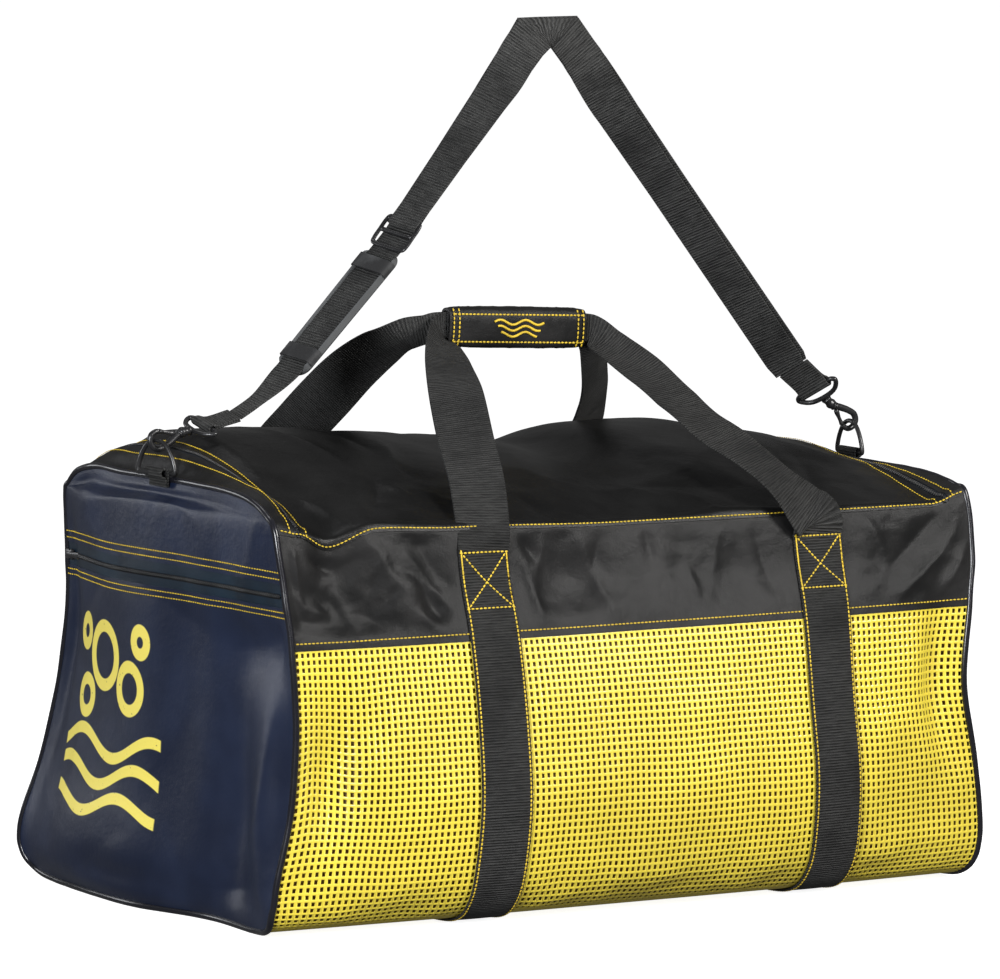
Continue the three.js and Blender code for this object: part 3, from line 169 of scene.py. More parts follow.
# Folds of the lid: from x and row to x and row, half width in millimetres, depth
LID_FOLDS = [
    (-150, 14.4, -190, 12.9, 9, 4.5), (-160, 17.6, -174, 14.2, 8, -3.5), (-204, 12.6, -195, 12.1, 6, 3.0),
    (-243, 11.2, -208, 13.0, 7, -3.5), (-296, 12.5, -272, 10.9, 9, 4.5), (-84, 12.0, -60, 10.8, 8, -3.0),
    (-250, 15.5, -222, 13.6, 9, 3.5), (60, 11.6, 20, 12.8, 12, 2.5), (250, 13.6, 215, 11.4, 10, -3.5),
]
# Handle legs: shares of the way from the strip's top to the grip in x, y and z, share of the width,
# and turn about the leg in degrees
LEGS = {
    "front_left": [(0.00, 0.00, 0.00, 1.00, 0), (0.018, 0.01, 0.075, 1.00, 8), (0.116, 0.13, 0.332, 1.00, 22),
                   (0.248, 0.306, 0.511, 1.00, 34), (0.474, 0.546, 0.733, 0.96, 44), (0.709, 0.768, 0.86, 0.80, 44),
                   (0.90, 0.93, 0.95, 0.62, 24)],
    "front_right": [(0.00, 0.00, 0.00, 1.00, 0), (0.00, -0.01, 0.07, 1.00, 0), (0.10, 0.00, 0.14, 1.00, 16),
                    (0.264, 0.05, 0.27, 0.98, 36),
                    (0.45, 0.19, 0.42, 0.95, 34), (0.59, 0.354, 0.535, 0.92, 24), (0.677, 0.546, 0.663, 0.90, 16),
                    (0.761, 0.729, 0.793, 0.84, 12), (0.87, 0.883, 0.902, 0.72, 12), (0.968, 0.98, 0.979, 0.60, 8)],
    "back_left": [(0.00, 0.00, 0.00, 1.00, 0), (0.02, -0.02, 0.13, 1.00, 12), (0.11, 0.08, 0.29, 1.00, 34),
                  (0.202, 0.264, 0.458, 1.00, 46), (0.26, 0.466, 0.615, 1.00, 42), (0.359, 0.657, 0.773, 0.96, 22),
                  (0.516, 0.818, 0.895, 0.85, 4), (0.663, 0.929, 0.961, 0.68, -12), (0.85, 0.979, 0.985, 0.58, -14)],
    "back_right": [(0.00, 0.00, 0.00, 1.00, 0), (0.08, -0.01, 0.13, 1.00, 0), (0.18, 0.12, 0.27, 1.00, 0),
                   (0.286, 0.312, 0.434, 0.98, 0), (0.453, 0.54, 0.592, 0.90, 3), (0.693, 0.792, 0.773, 0.74, 4),
                   (0.892, 0.959, 0.93, 0.59, -6)],
}
# Turn of the shoulder strap about its own run: millimetres from its folded top, degrees
STRAP_TURNS = [(-370, 50), (-180, 52), (-95, 46), (-50, 28), (-18, 0), (18, 0), (52, -38), (110, -58), (170, -68),
               (245, -75), (400, -82), (500, -75)]
PAD_TURNS = (76, 82)
HOOK_WIRE = [(0.331, 0.00, 4.4), (0.53, 0.00, 4.4), (0.59, 0.02, 3.6), (0.72, 0.08, 3.3),
             (0.88, 0.14, 3.1), (1.03, 0.16, 3.0), (1.135, 0.09, 2.9), (1.16, -0.03, 2.8),
             (1.11, -0.13, 2.7), (1.02, -0.165, 2.5), (0.96, -0.16, 2.3)]
HOOK_GATE = [(0.94, -0.155), (0.79, -0.09), (0.642, -0.02)]


# Plain maths
def mix(a, b, t):
    return a + (b - a) * t


def smooth(t):
    t = np.clip(t, 0, 1)
    return t * t * (3 - 2 * t)


def between(table, at):
    """A value between the rows of a table of (place, share)."""
    places, shares = np.array(table, float).T
    i = np.clip(np.searchsorted(places, at) - 1, 0, len(places) - 2)
    return mix(shares[i], shares[i + 1], smooth((at - places[i]) / (places[i + 1] - places[i])))


def unit(vectors):
    return vectors / np.maximum(np.linalg.norm(vectors, axis=-1, keepdims=True), 1e-12)


def noise(x, y, seed):
    """Seeded value noise from -1 to 1."""
    table = np.random.default_rng(seed).uniform(-1, 1, (61, 61))
    i, j = np.floor(x).astype(int), np.floor(y).astype(int)
    s, t = smooth(x - i), smooth(y - j)
    i, j, k, l = i % 61, j % 61, (i + 1) % 61, (j + 1) % 61
    return mix(mix(table[i, j], table[k, j], s), mix(table[i, l], table[k, l], s), t)


def crumple(x, y, seed):
    """Soft ridges with flat places between them, as on a stiff coated cloth."""
    bend = noise(x * 0.7, y * 0.7, seed + 1)
    ridge = 1 - np.abs(noise(x + 0.8 * bend, y - 0.6 * bend, seed)) * 2.2
    return np.clip(ridge, -0.4, 1) ** 3 - 0.15


def facets(x, y, seed):
    """Flat facets that meet in sharp folds, as on stiff coated cloth, from -1 to 1."""
    x, y = x + 0.4 * noise(x * 1.3, y * 1.3, seed + 1), y + 0.4 * noise(x * 1.1, y * 1.4, seed + 2)
    x, y = 0.87 * x + 0.5 * y, 0.87 * y - 0.5 * x
    table = np.random.default_rng(seed).uniform(-1, 1, (61, 61))
    i, j = np.floor(x).astype(int), np.floor(y).astype(int)
    s, t = x - i, y - j
    i, j, k, l = i % 61, j % 61, (i + 1) % 61, (j + 1) % 61
    low = table[i, j] * (1 - s - t) + table[k, j] * s + table[i, l] * t
    high = table[k, l] * (s + t - 1) + table[i, l] * (1 - s) + table[k, j] * (1 - t)
    return np.where(s + t < 1, low, high)


# The bag's surface
def row_point(u, index):
    depth, bulge, zone, height, dome, left, right = np.moveaxis(GIRTH[index % ROWS], -1, 0)
    middle = 1 - np.abs(2 * u - 1) ** 2.6
    inward = smooth(u / 0.045) * smooth((1 - u) / 0.045)
    x = mix(-LENGTH / 2, LENGTH / 2, u) + FLARE * (right * u**6 - left * (1 - u) ** 6)
    y = WIDTH / 2 * depth + np.sign(depth) * BULGE * bulge * middle
    wave = SEAM_WAVE * between(SEAM, u)
    share = mix(height, dome, inward)
    net = MESH_HEIGHT * height
    band = MESH_HEIGHT + (BAND_HEIGHT + wave) * height
    lid = MESH_HEIGHT + BAND_HEIGHT + wave * (1 - share) + LID_RISE * between(CROWN, u) * share
    z = np.where(zone == 0, net, np.where(zone == 1, band, lid))
    return np.stack([x, y, z], -1)


def sleeve(u, v):
    u, v = np.broadcast_arrays(np.asarray(u, float), np.asarray(v, float))
    i = np.floor(v).astype(int)
    t = (v - i)[..., None]
    a, b, c, d = (row_point(u, i + k) for k in (-1, 0, 1, 2))
    point = 0.5 * (2 * b + (c - a) * t + (2 * a - 5 * b + 4 * c - d) * t**2 + (3 * (b - c) + d - a) * t**3)
    point[..., 2] = np.maximum(0, point[..., 2])
    return point


def outward(u, v):
    u = np.asarray(u, float)
    along = sleeve(np.minimum(1, u + 0.002), v) - sleeve(np.maximum(0, u - 0.002), v)
    return unit(np.cross(along, sleeve(u, v + 0.04) - sleeve(u, v - 0.04)))


def beside_strips(u, reach=26):
    """0 under the girth webbing and 1 away from it."""
    calm = 1.0
    for x in STRIP_X:
        calm = calm * smooth((np.abs((u - 0.5) * LENGTH - x) - STRIP_WIDTH / 2 - 1) / reach)
    return calm


def folds(u, v):
    """How far the cloth's own creases stand out, in millimetres."""
    u, v = np.broadcast_arrays(np.asarray(u, float), np.asarray(v, float))
    around = v % ROWS
    x = (u - 0.5) * LENGTH
    edge = smooth(u / 0.02) * smooth((1 - u) / 0.02)
    band = (around > BAND_SEAM) & (around < TOP_SEAM) | (around > 20) & (around < 22)
    lid = (around >= TOP_SEAM) & (around <= 20)
    z = MESH_HEIGHT + BAND_HEIGHT * (np.where(around < 15, around - 8, 22 - around)) / 2
    held = smooth((z - MESH_HEIGHT) / 22) * smooth((MESH_HEIGHT + BAND_HEIGHT - z) / 16)
    busy = 0.5 + 0.8 * smooth((-110 - x) / 80) + 0.2 * smooth((x - 200) / 60)
    height = busy * (4.2 * facets(x / 40 + 3.1, z / 42, 5) + 1.6 * facets(x / 19, z / 19 + 7.7, 9))
    for x0, z0, x1, z1, half, depth in BAND_FOLDS:
        run = np.array([x1 - x0, z1 - z0], float)
        t = np.clip(((x - x0) * run[0] + (z - z0) * run[1]) / run.dot(run), 0, 1)
        far = np.hypot(x - x0 - t * run[0], z - z0 - t * run[1]) / half
        shape = np.exp(-(far**1.3)) * np.sin(math.pi * (0.12 + 0.76 * t))
        height = height + np.where(around < 15, 1.5 * depth, 0) * shape
    net = 1.6 * noise(x / 48, around * 1.1, 21) + 0.9 * noise(x / 21, around * 2.3, 22)
    net = net * smooth((around - TURN) / 1.2) * smooth(np.abs(around - 8) / 0.8)
    y = around * 34
    top = 4.0 * facets(x / 90 + 1.7, y / 70, 31) + 1.3 * facets(x / 34, y / 30, 33)
    for x0, v0, x1, v1, half, depth in LID_FOLDS:
        run = np.array([x1 - x0, (v1 - v0) * 34], float)
        t = np.clip(((x - x0) * run[0] + (y - v0 * 34) * run[1]) / run.dot(run), 0, 1)
        far = np.hypot(x - x0 - t * run[0], y - v0 * 34 - t * run[1]) / half
        top = top + depth * np.exp(-(far**1.3)) * np.sin(math.pi * (0.12 + 0.76 * t))
    top = top * smooth((around - TOP_SEAM) / 0.8) * smooth((20 - around) / 0.8)
    flat = smooth((sleeve(u, v)[..., 2] - 2) / 12)
    loose = np.where(band, height * held, np.where(lid, top, net * flat))
    return loose * edge * np.where(lid, 1, beside_strips(u))


def body(u, v, out=0.0):
    """A point on the bag's cloth, a distance out from it."""
    u, v = np.broadcast_arrays(np.asarray(u, float), np.asarray(v, float))
    around = v % ROWS
    dent = sum(
        depth * np.exp(-(((u - a) / da) ** 2) - ((around - b) / db) ** 2) for a, b, da, db, depth in DENTS
    )
    reach = out + folds(u, v) - FOLD_DEPTH * dent
    return sleeve(u, v) + outward(u, v) * reach[..., None] + (0, 0, STRIP_STANDS)


def u_of(x):
    return x / LENGTH + 0.5


def outline(sign, v, inward):
    """The bag's end edge, drawn in towards its middle."""
    u = 0.0 if sign < 0 else 1.0
    point = sleeve(u, v)
    ahead = sleeve(u, v + 0.05) - sleeve(u, v - 0.05)
    side = unit(np.stack([np.zeros_like(ahead[..., 0]), -ahead[..., 2], ahead[..., 1]], -1))
    towards = ((0, 0, MESH_HEIGHT / 2) - point)[..., 1:] * side[..., 1:]
    side = side * np.where(towards.sum(-1, keepdims=True) < 0, -1, 1)
    return point + side * inward + (0, 0, STRIP_STANDS)


END_INSET = 2.6


def end_point(sign, s, t, out=0.0):
    """A point on an end's cloth: s across from the front, t up."""
    s, t = np.broadcast_arrays(np.asarray(s, float), np.asarray(t, float))
    low, high = END_CORNER
    front = lambda k: outline(sign, mix(low, high, k), END_INSET)
    back = lambda k: outline(sign, ROWS - mix(low, high, k), END_INSET)
    bottom = lambda k: outline(sign, mix(low, -low, k), END_INSET)
    top = lambda k: outline(sign, mix(high, ROWS - high, k), END_INSET)
    zero, one = np.zeros(1), np.ones(1)
    a, b = s[..., None], t[..., None]
    point = front(t) * (1 - a) + back(t) * a + bottom(s) * (1 - b) + top(s) * b
    point = point - front(zero) * (1 - a) * (1 - b) - back(zero) * a * (1 - b)
    point = point - front(one) * (1 - a) * b - back(one) * a * b
    rise = np.maximum(0, np.sin(math.pi * s)) ** 0.7 * np.maximum(0, np.sin(math.pi * t)) ** 1.1
    push = END_BELLY * rise
    for across, up, da, db, depth in END_DENTS[sign]:
        hollow = np.exp(-(((s - across) / da) ** 2) - ((t - up) / db) ** 2)
        push = push - FOLD_DEPTH * depth * hollow * np.minimum(1, 3 * rise)
    creases = 4.6 * facets(s * 3.6 + sign, t * 3.1, 41) + 3.6 * noise(s * 3, t * 2.6, 43)
    for across, up, da, db, height in END_LOBES[sign]:
        creases = creases + height * np.exp(-(((s - across) / da) ** 2) - ((t - up) / db) ** 2)
    push = push + creases * np.minimum(1, 2.2 * rise)
    point[..., 0] += sign * (push + out)
    return point


def end_share(height):
    v = BAND_SEAM + 2 * (height - MESH_HEIGHT) / BAND_HEIGHT
    return (v - END_CORNER[0]) / (END_CORNER[1] - END_CORNER[0])


# Meshes
def to_row(points):
    """Standing millimetres to the row's metres."""
    return (np.asarray(points, float).reshape(-1, 3) - (APEX[0], 0, APEX[1])) / 1000


def new_piece(name, points, faces, material, uv=None, soft=True):
    """A mesh piece from points in standing millimetres and lists of corners."""
    points = to_row(points)
    faces = [tuple(int(i) for i in face) for face in faces]
    volume = 0.0
    for face in faces:
        for a, b in zip(face[1:-1], face[2:]):
            volume += np.dot(points[face[0]], np.cross(points[a], points[b]))
    if volume < 0:
        faces = [face[::-1] for face in faces]
    mesh = bpy.data.meshes.new(name)
    mesh.from_pydata(points.tolist(), [], faces)
    mesh.polygons.foreach_set("use_smooth", [True] * len(faces))
    if uv is not None:
        layer = mesh.uv_layers.new(name="UVMap")
        corner = np.empty(len(mesh.loops), int)
        mesh.loops.foreach_get("vertex_index", corner)
        layer.data.foreach_set("uv", np.asarray(uv, float).reshape(-1, 2)[corner].ravel())
    mesh.materials.append(bpy.data.materials[f"bag {material}"])
    if not soft:
        mesh.set_sharp_from_angle(angle=math.radians(38))
    piece = bpy.data.objects.new(name, mesh)
    bpy.context.scene.collection.objects.link(piece)
    return piece


def finish_piece(piece, *nodes):
    if nodes:
        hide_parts(*nodes)
    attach(piece, "root")
    return piece


def grid_faces(rows, columns, start=0):
    i, j = np.meshgrid(np.arange(rows - 1), np.arange(columns - 1), indexing="ij")
    a = (start + i * columns + j).ravel()
    return np.stack([a, a + columns, a + columns + 1, a + 1], 1)


def slab(name, outer, inner, uv, material):
    """A cloth wall between two grids of points."""
    rows, columns = outer.shape[:2]
    count = rows * columns
    rim = list(range(columns)) + [k * columns + columns - 1 for k in range(1, rows)]
    rim += [count - 2 - k for k in range(columns - 1)] + [k * columns for k in range(rows - 2, 0, -1)]
    sides = [(a, b, b + count, a + count) for a, b in zip(rim, rim[1:] + rim[:1])]
    faces = [*grid_faces(rows, columns).tolist(), *grid_faces(rows, columns, count)[:, ::-1].tolist(), *sides]
    points = np.concatenate([outer.reshape(-1, 3), inner.reshape(-1, 3)])
    return new_piece(name, points, faces, material, np.concatenate([uv.reshape(-1, 2)] * 2), False)


def lengths(points):
    steps = np.linalg.norm(np.diff(points, axis=0), axis=1)
    return np.concatenate([[0], np.cumsum(steps)])


def cloth_wall(name, us, vs, material, out=0.0, place=body, thickness=CLOTH):
    """A panel of cloth over the lines us and vs of a surface."""
    u, v = np.meshgrid(us, vs, indexing="ij")
    outer, inner = place(u, v, out), place(u, v, out - thickness)
    across = lengths(outer[:, len(vs) // 2]) / 1000
    round_it = lengths(outer[len(us) // 2]) / 1000
    uv = np.stack(np.meshgrid(across, round_it, indexing="ij"), -1)
    return slab(name, outer, inner, uv, material)


def surface_area(piece):
    return sum(face.area for face in piece.data.polygons)


def declare_cloth(piece, width, length, layers=2):
    """Works out a piece's cloth area per layer and the length of its flat cut in metres, and keeps neither."""
    area = surface_area(piece) / layers
    max(length, area / width)


def tube(name, rings, material, closed, uv=None, soft=True):
    """A solid through rings of points, round in a loop or capped at both ends."""
    rings = np.asarray(rings, float)
    count, sides = rings.shape[:2]
    faces = []
    for r in range(count if closed else count - 1):
        a, b = r * sides, (r + 1) % count * sides
        faces += [(a + k, b + k, b + (k + 1) % sides, a + (k + 1) % sides) for k in range(sides)]
    if not closed:
        faces += [tuple(range(sides)), tuple((count - 1) * sides + k for k in range(sides))[::-1]]
    return new_piece(name, rings, faces, material, uv, soft)


def rounded_path(points, count, closed=False):
    """Centripetal curve through points, with any further columns carried along."""
    points = np.asarray(points, float)
    if closed:
        points = np.concatenate([points[-1:], points, points[:2]])
    else:
        points = np.concatenate([2 * points[:1] - points[1:2], points, 2 * points[-1:] - points[-2:-1]])
    knots = np.concatenate([[0], np.cumsum(np.sqrt(np.linalg.norm(np.diff(points[:, :3], axis=0), axis=1)) + 1e-6)])
    steps = np.linspace(0, len(points) - 3, count + 1)[: count if closed else count + 1]
    result = []
    for step in steps:
        i = min(int(step), len(points) - 4) + 1
        t = mix(knots[i], knots[i + 1], step - (i - 1))
        p, k = points[i - 1:i + 3], knots[i - 1:i + 3]
        a = [p[j] + (p[j + 1] - p[j]) * (t - k[j]) / (k[j + 1] - k[j]) for j in range(3)]
        b = [a[j] + (a[j + 1] - a[j]) * (t - k[j]) / (k[j + 2] - k[j]) for j in range(2)]
        result.append(b[0] + (b[1] - b[0]) * (t - k[1]) / (k[2] - k[1]))
    return np.array(result)


def rolled_pair(across, normal, degrees):
    """Directions across and out of a band, turned about its run."""
    turn = np.radians(np.asarray(degrees, float))[:, None]
    return across * np.cos(turn) + normal * np.sin(turn), normal * np.cos(turn) - across * np.sin(turn)


def tangents(points, closed=False):
    if closed:
        return unit(np.roll(points, -1, axis=0) - np.roll(points, 1, axis=0))
    return unit(np.gradient(points, axis=0))


def wire_rings(points, radius, plane, sides=10, closed=False):
    """Rings of a round wire that lies flat across the direction plane."""
    points = np.asarray(points, float)
    plane = np.broadcast_to(unit(np.asarray(plane, float)), points.shape)
    side = unit(np.cross(tangents(points, closed), plane))
    angle = np.arange(sides) * 2 * math.pi / sides
    radius = np.broadcast_to(np.asarray(radius, float), len(points))
    spread = side[:, None] * np.cos(angle)[None, :, None] + plane[:, None] * np.sin(angle)[None, :, None]
    return points[:, None] + radius[:, None, None] * spread


BAND_EDGE = 0.6


def band_section(width, depth, bow=0.0):
    """Across and out of the points round a flat band with soft edges; bow bends it lengthwise."""
    w, d = width / 2, depth / 2
    across = np.array([-1, -0.97, -0.6, 0, 0.6, 0.97, 1, 0.97, 0.6, 0, -0.6, -0.97]) * w
    out = np.array([0, 1, 1, 1, 1, 1, 0, -1, -1, -1, -1, -1]) * d
    return across, out - bow * (1 - (across / w) ** 2)


def webbing(name, centres, across, normal, widths, material="webbing", depth=WEBBING, bows=None, shift=0.0):
    """A flat woven band along a path; its UV is across and along, in metres."""
    bows = np.zeros(len(centres)) if bows is None else bows
    widths = np.broadcast_to(np.asarray(widths, float), len(centres))
    rings, uv = [], []
    travelled = lengths(centres) + shift
    for k, centre in enumerate(centres):
        a, n = band_section(widths[k], depth, bows[k])
        rings.append(centre + a[:, None] * across[k] + n[:, None] * normal[k])
        uv.append(np.stack([a / 1000, np.full(len(a), travelled[k] / 1000)], 1))
    return tube(name, rings, material, False, np.array(uv), False)


# Node trees
class Value:
    """A node's output that takes part in sums."""

    def __init__(self, nodes, socket):
        self.nodes, self.socket = nodes, socket

    def of(self, output):
        return Value(self.nodes, self.socket.node.outputs[output])

    def maths(self, operation, *others):
        inputs = dict(enumerate((self, *others)))
        return self.nodes.make("ShaderNodeMath", {"operation": operation}, inputs)

    def __add__(self, other):
        return self.maths("ADD", other)

    __radd__ = __add__

    def __mul__(self, other):
        return self.maths("MULTIPLY", other)

    __rmul__ = __mul__

    def __sub__(self, other):
        return self.maths("SUBTRACT", other)

    def __rsub__(self, other):
        return self.nodes.make("ShaderNodeMath", {"operation": "SUBTRACT"}, {0: other, 1: self})

    def __truediv__(self, other):
        return self.maths("DIVIDE", other)

    def __pow__(self, other):
        return self.maths("POWER", other)

    def __abs__(self):
        return self.maths("ABSOLUTE")

    def sine(self):
        return self.maths("SINE")

    def least(self, other):
        return self.maths("MINIMUM", other)

    def most(self, other):
        return self.maths("MAXIMUM", other)

    def ramp(self, low, high):
        """0 below low, 1 above high and smooth between."""
        limits = {"Value": self, "From Min": low, "From Max": high}
        return self.nodes.make("ShaderNodeMapRange", {"interpolation_type": "SMOOTHSTEP"}, limits)


class Nodes:
    """A node tree and the one way to add to it."""

    def __init__(self, tree):
        self.tree = tree
        tree.nodes.clear()

    def make(self, kind, settings=None, inputs=None, output=0):
        node = self.tree.nodes.new(kind)
        for name, value in (settings or {}).items():
            setattr(node, name, value)
        for name, value in (inputs or {}).items():
            for part in value if isinstance(value, list) else [value]:
                if isinstance(part, Value):
                    self.tree.links.new(part.socket, node.inputs[name])
                else:
                    node.inputs[name].default_value = part
        return Value(self, node.outputs[output]) if node.outputs else node

    def colour_mix(self, factor, a, b):
        inputs = {"Factor": factor, "A": a, "B": b}
        node = self.tree.nodes.new("ShaderNodeMix")
        node.data_type = "RGBA"
        for name, value in inputs.items():
            socket = next(s for s in node.inputs if s.name == name and s.enabled)
            if isinstance(value, Value):
                self.tree.links.new(value.socket, socket)
            else:
                socket.default_value = value
        return Value(self, next(s for s in node.outputs if s.enabled))


def rgb(colour):
    return (*colour[:3], 1.0)


class Finish:
    """A material: its pattern places, its colour and its surface."""

    def __init__(self, name):
        self.material = bpy.data.materials.new(f"bag {name}")
        self.material.use_nodes = True
        self.nodes = Nodes(self.material.node_tree)
        self.place = self.nodes.make("ShaderNodeTexCoord", output="Object")
        self.uv = self.nodes.make("ShaderNodeTexCoord", output="UV")

    def axes(self, source):
        split = self.nodes.make("ShaderNodeSeparateXYZ", inputs={0: source})
        return split.of("X"), split.of("Y"), split.of("Z")

    def cloud(self, scale, detail=2.0, roughness=0.5, place=None, stretch=None):
        """Seeded noise from 0 to 1 on the object's own place."""
        place = place or self.place
        if stretch:
            place = self.nodes.make("ShaderNodeMapping", inputs={"Vector": place, "Scale": stretch})
        inputs = {"Vector": place, "Scale": scale, "Detail": detail, "Roughness": roughness}
        return self.nodes.make("ShaderNodeTexNoise", inputs=inputs)

    def close(self, colour, roughness, height=None, depth=0.001, strength=0.5, gloss=0.5, coat=0.0, glow=0.0):
        shader = {"Base Color": colour, "Roughness": roughness, "Specular IOR Level": gloss}
        shader.update({"Coat Weight": coat, "Coat Roughness": 0.12, "Emission Color": (1.0, 1.0, 1.0, 1.0)})
        shader["Emission Strength"] = glow
        if height is not None:
            inputs = {"Height": height, "Distance": depth, "Strength": strength}
            shader["Normal"] = self.nodes.make("ShaderNodeBump", inputs=inputs)
        surface = self.nodes.make("ShaderNodeBsdfPrincipled", inputs=shader)
        self.nodes.make("ShaderNodeOutputMaterial", inputs={"Surface": surface})


def weave(finish, across, along):
    """Plain weave height from the piece's UV: threads per metre across and along."""
    u, v, _ = finish.axes(finish.uv)
    return (u * across * math.pi * 2).sine() * (v * along * math.pi * 2).sine()


def make_net_finish(colour):
    finish = Finish("net")
    wear = finish.cloud(9.0)
    grain = finish.cloud(420.0)
    shade = finish.nodes.colour_mix(wear.ramp(0.35, 0.7), rgb([c * 0.9 for c in colour]), rgb(colour))
    finish.close(shade, 0.32 + grain * 0.12, grain, 0.0004, 0.25, coat=0.3)


def make_coated_finish(name, colour, roughness, light, threads=900.0, crinkle=0.5, gloss=0.45):
    """Coated nylon: a fine weave, small crinkles and a slightly uneven sheen."""
    finish = Finish(name)
    fine = weave(finish, threads, threads)
    creased = finish.cloud(38.0, 5.0, 0.62)
    small = finish.cloud(120.0, 3.0, 0.6)
    tone = finish.cloud(14.0, 3.0, 0.6)
    shade = finish.nodes.colour_mix(tone.ramp(0.35, 0.7), rgb(colour), rgb(light))
    height = creased * 1.0 + small * 0.22 + fine * 0.035
    rough = roughness + tone * 0.14 + fine * 0.03
    finish.close(shade, rough, height, 0.004, crinkle, gloss)


def make_print_finish(colour, light, thread):
    """The pocket's cloth with a plain print of waves under rising bubbles."""
    finish = Finish("printed_cloth")
    x, y, z = finish.axes(finish.place)
    fine = weave(finish, 900.0, 900.0)
    creased = finish.cloud(30.0, 4.0, 0.6)
    tone = finish.cloud(9.0, 3.0, 0.6)
    cloth = finish.nodes.colour_mix(tone.ramp(0.35, 0.7), rgb(colour), rgb(light))
    across = (y - PRINT_PLACE[0]) / PRINT_HALF[0]
    up = (z - PRINT_PLACE[1]) / PRINT_HALF[1]
    inside = 1 - abs(across).ramp(0.93, 0.95)
    mask = None
    for level, swell in WAVES:
        crest = up - level - (across * math.pi * 1.5 + level * 4).sine() * swell
        stripe = (1 - abs(crest).ramp(0.05, 0.06)) * inside
        mask = stripe if mask is None else mask.most(stripe)
    for centre, height, radius in BUBBLES:
        far = ((across - centre) ** 2.0 + ((up - height) * (PRINT_HALF[1] / PRINT_HALF[0])) ** 2.0) ** 0.5
        ring = 1 - abs(far - radius).ramp(0.05, 0.062)
        mask = mask.most(ring)
    wear = finish.cloud(260.0, 2.0).ramp(0.2, 0.34)
    shade = finish.nodes.colour_mix(mask * wear, cloth, rgb(thread))
    height = creased + fine * 0.035 + mask * 0.12
    rough = 0.32 + tone * 0.12
    finish.close(shade, rough, height, 0.003, 0.28)


def make_webbing_finish(name, colour, light, rib, slant):
    """Woven webbing: ribs across it, or slanted where slant isn't 0, with selvedges."""
    finish = Finish(name)
    u, v, _ = finish.axes(finish.uv)
    threads = finish.cloud(1.0, 3.0, 0.7, finish.uv, (60.0, 520.0, 1.0)).ramp(0.3, 0.7)
    turn = (v + abs(u) * slant) * (2 * math.pi / rib)
    ribs = turn.sine() * 0.5 + 0.5
    ends = ((u * 900.0 * math.pi).sine() * (v * 1400.0 * math.pi).sine()) * 0.5 + 0.5
    worn = finish.cloud(22.0, 3.0)
    # Rib tops are painted lighter and furrows darker, a painted highlight and painted shade, mixed with random thread
    # tone and faded in random patches.
    mask = (ribs * 0.5 + threads * 0.5) * worn.ramp(0.1, 0.6)
    shade = finish.nodes.colour_mix(mask, rgb(colour), rgb(light))
    finish.close(shade, 0.8 - ribs * 0.15, ribs + ends * 0.3 + threads * 0.8, 0.0012, 0.9, 0.4)


def make_plain_finish(name, colour, light, roughness, grain=300.0, coat=0.0, bump=0.2):
    finish = Finish(name)
    cloud = finish.cloud(grain, 3.0)
    wear = finish.cloud(40.0, 3.0)
    shade = finish.nodes.colour_mix(wear.ramp(0.4, 0.75), rgb(colour), rgb(light))
    finish.close(shade, roughness + cloud * 0.12, cloud, 0.0003, bump, coat=coat)


def make_thread_finish(colour):
    finish = Finish("thread")
    x, y, z = finish.axes(finish.place)
    twist = ((x + y + z) * 5200.0).sine() * 0.5 + 0.5
    tone = finish.cloud(60.0)
    shade = finish.nodes.colour_mix(tone.ramp(0.35, 0.7), rgb([c * 0.72 for c in colour]), rgb(colour))
    finish.close(shade, 0.55, twist, 0.0002, 0.3)


# Where the end's print lies, in the row's metres, and what it shows in shares of its half sizes
PRINT_PLACE = (0.079, (160 - APEX[1]) / 1000)
PRINT_HALF = (0.098, 0.094)
WAVES = [(-0.78, 0.09), (-0.5, 0.1), (-0.22, 0.11)]
BUBBLES = [(-0.42, 0.36, 0.2), (0.12, 0.62, 0.27), (0.52, 0.2, 0.15), (0.62, 0.8, 0.12), (-0.62, 0.82, 0.11)]


# Geometry node trees for what repeats
SOCKETS = {"length": "NodeSocketFloat", "count": "NodeSocketInt", "geometry": "NodeSocketGeometry"}


class Repeat(Nodes):
    """A geometry tree with named inputs; close() adds what every tree ends in."""

    def __init__(self, name, inputs):
        super().__init__(bpy.data.node_groups.new(name, "GeometryNodeTree"))
        face = self.tree.interface
        face.new_socket("Geometry", in_out="INPUT", socket_type=SOCKETS["geometry"])
        face.new_socket("Geometry", in_out="OUTPUT", socket_type=SOCKETS["geometry"])
        for label, kind, value in inputs:
            socket = face.new_socket(label, in_out="INPUT", socket_type=SOCKETS[kind])
            socket.default_value = value
        self.given = self.make("NodeGroupInput")

    def use(self, label):
        return self.given.of(label)

    def close(self, geometry, material):
        solid = self.make("GeometryNodeRealizeInstances", inputs={"Geometry": geometry})
        smoothed = self.make("GeometryNodeSetShadeSmooth", inputs={"Geometry": solid})
        coated = {"Geometry": smoothed, "Material": bpy.data.materials[f"bag {material}"]}
        self.make("NodeGroupOutput", inputs={"Geometry": self.make("GeometryNodeSetMaterial", inputs=coated)})
        return self.tree


def apply_tree(piece, tree, **inputs):
    """Runs a geometry tree on a piece and keeps the plain mesh that it makes."""
    modifier = piece.modifiers.new("repeat", "NODES")
    modifier.node_group = tree
    known = {s.name: s.identifier for s in tree.interface.items_tree if s.item_type == "SOCKET"}
    for label, value in inputs.items():
        modifier[known[label.replace("_", " ").capitalize()]] = value
    piece.update_tag()
    bpy.context.view_layer.update()
    ready = piece.evaluated_get(bpy.context.evaluated_depsgraph_get())
    mesh = bpy.data.meshes.new_from_object(ready)
    piece.modifiers.clear()
    piece.data = mesh
    mesh.name = piece.name
    return piece


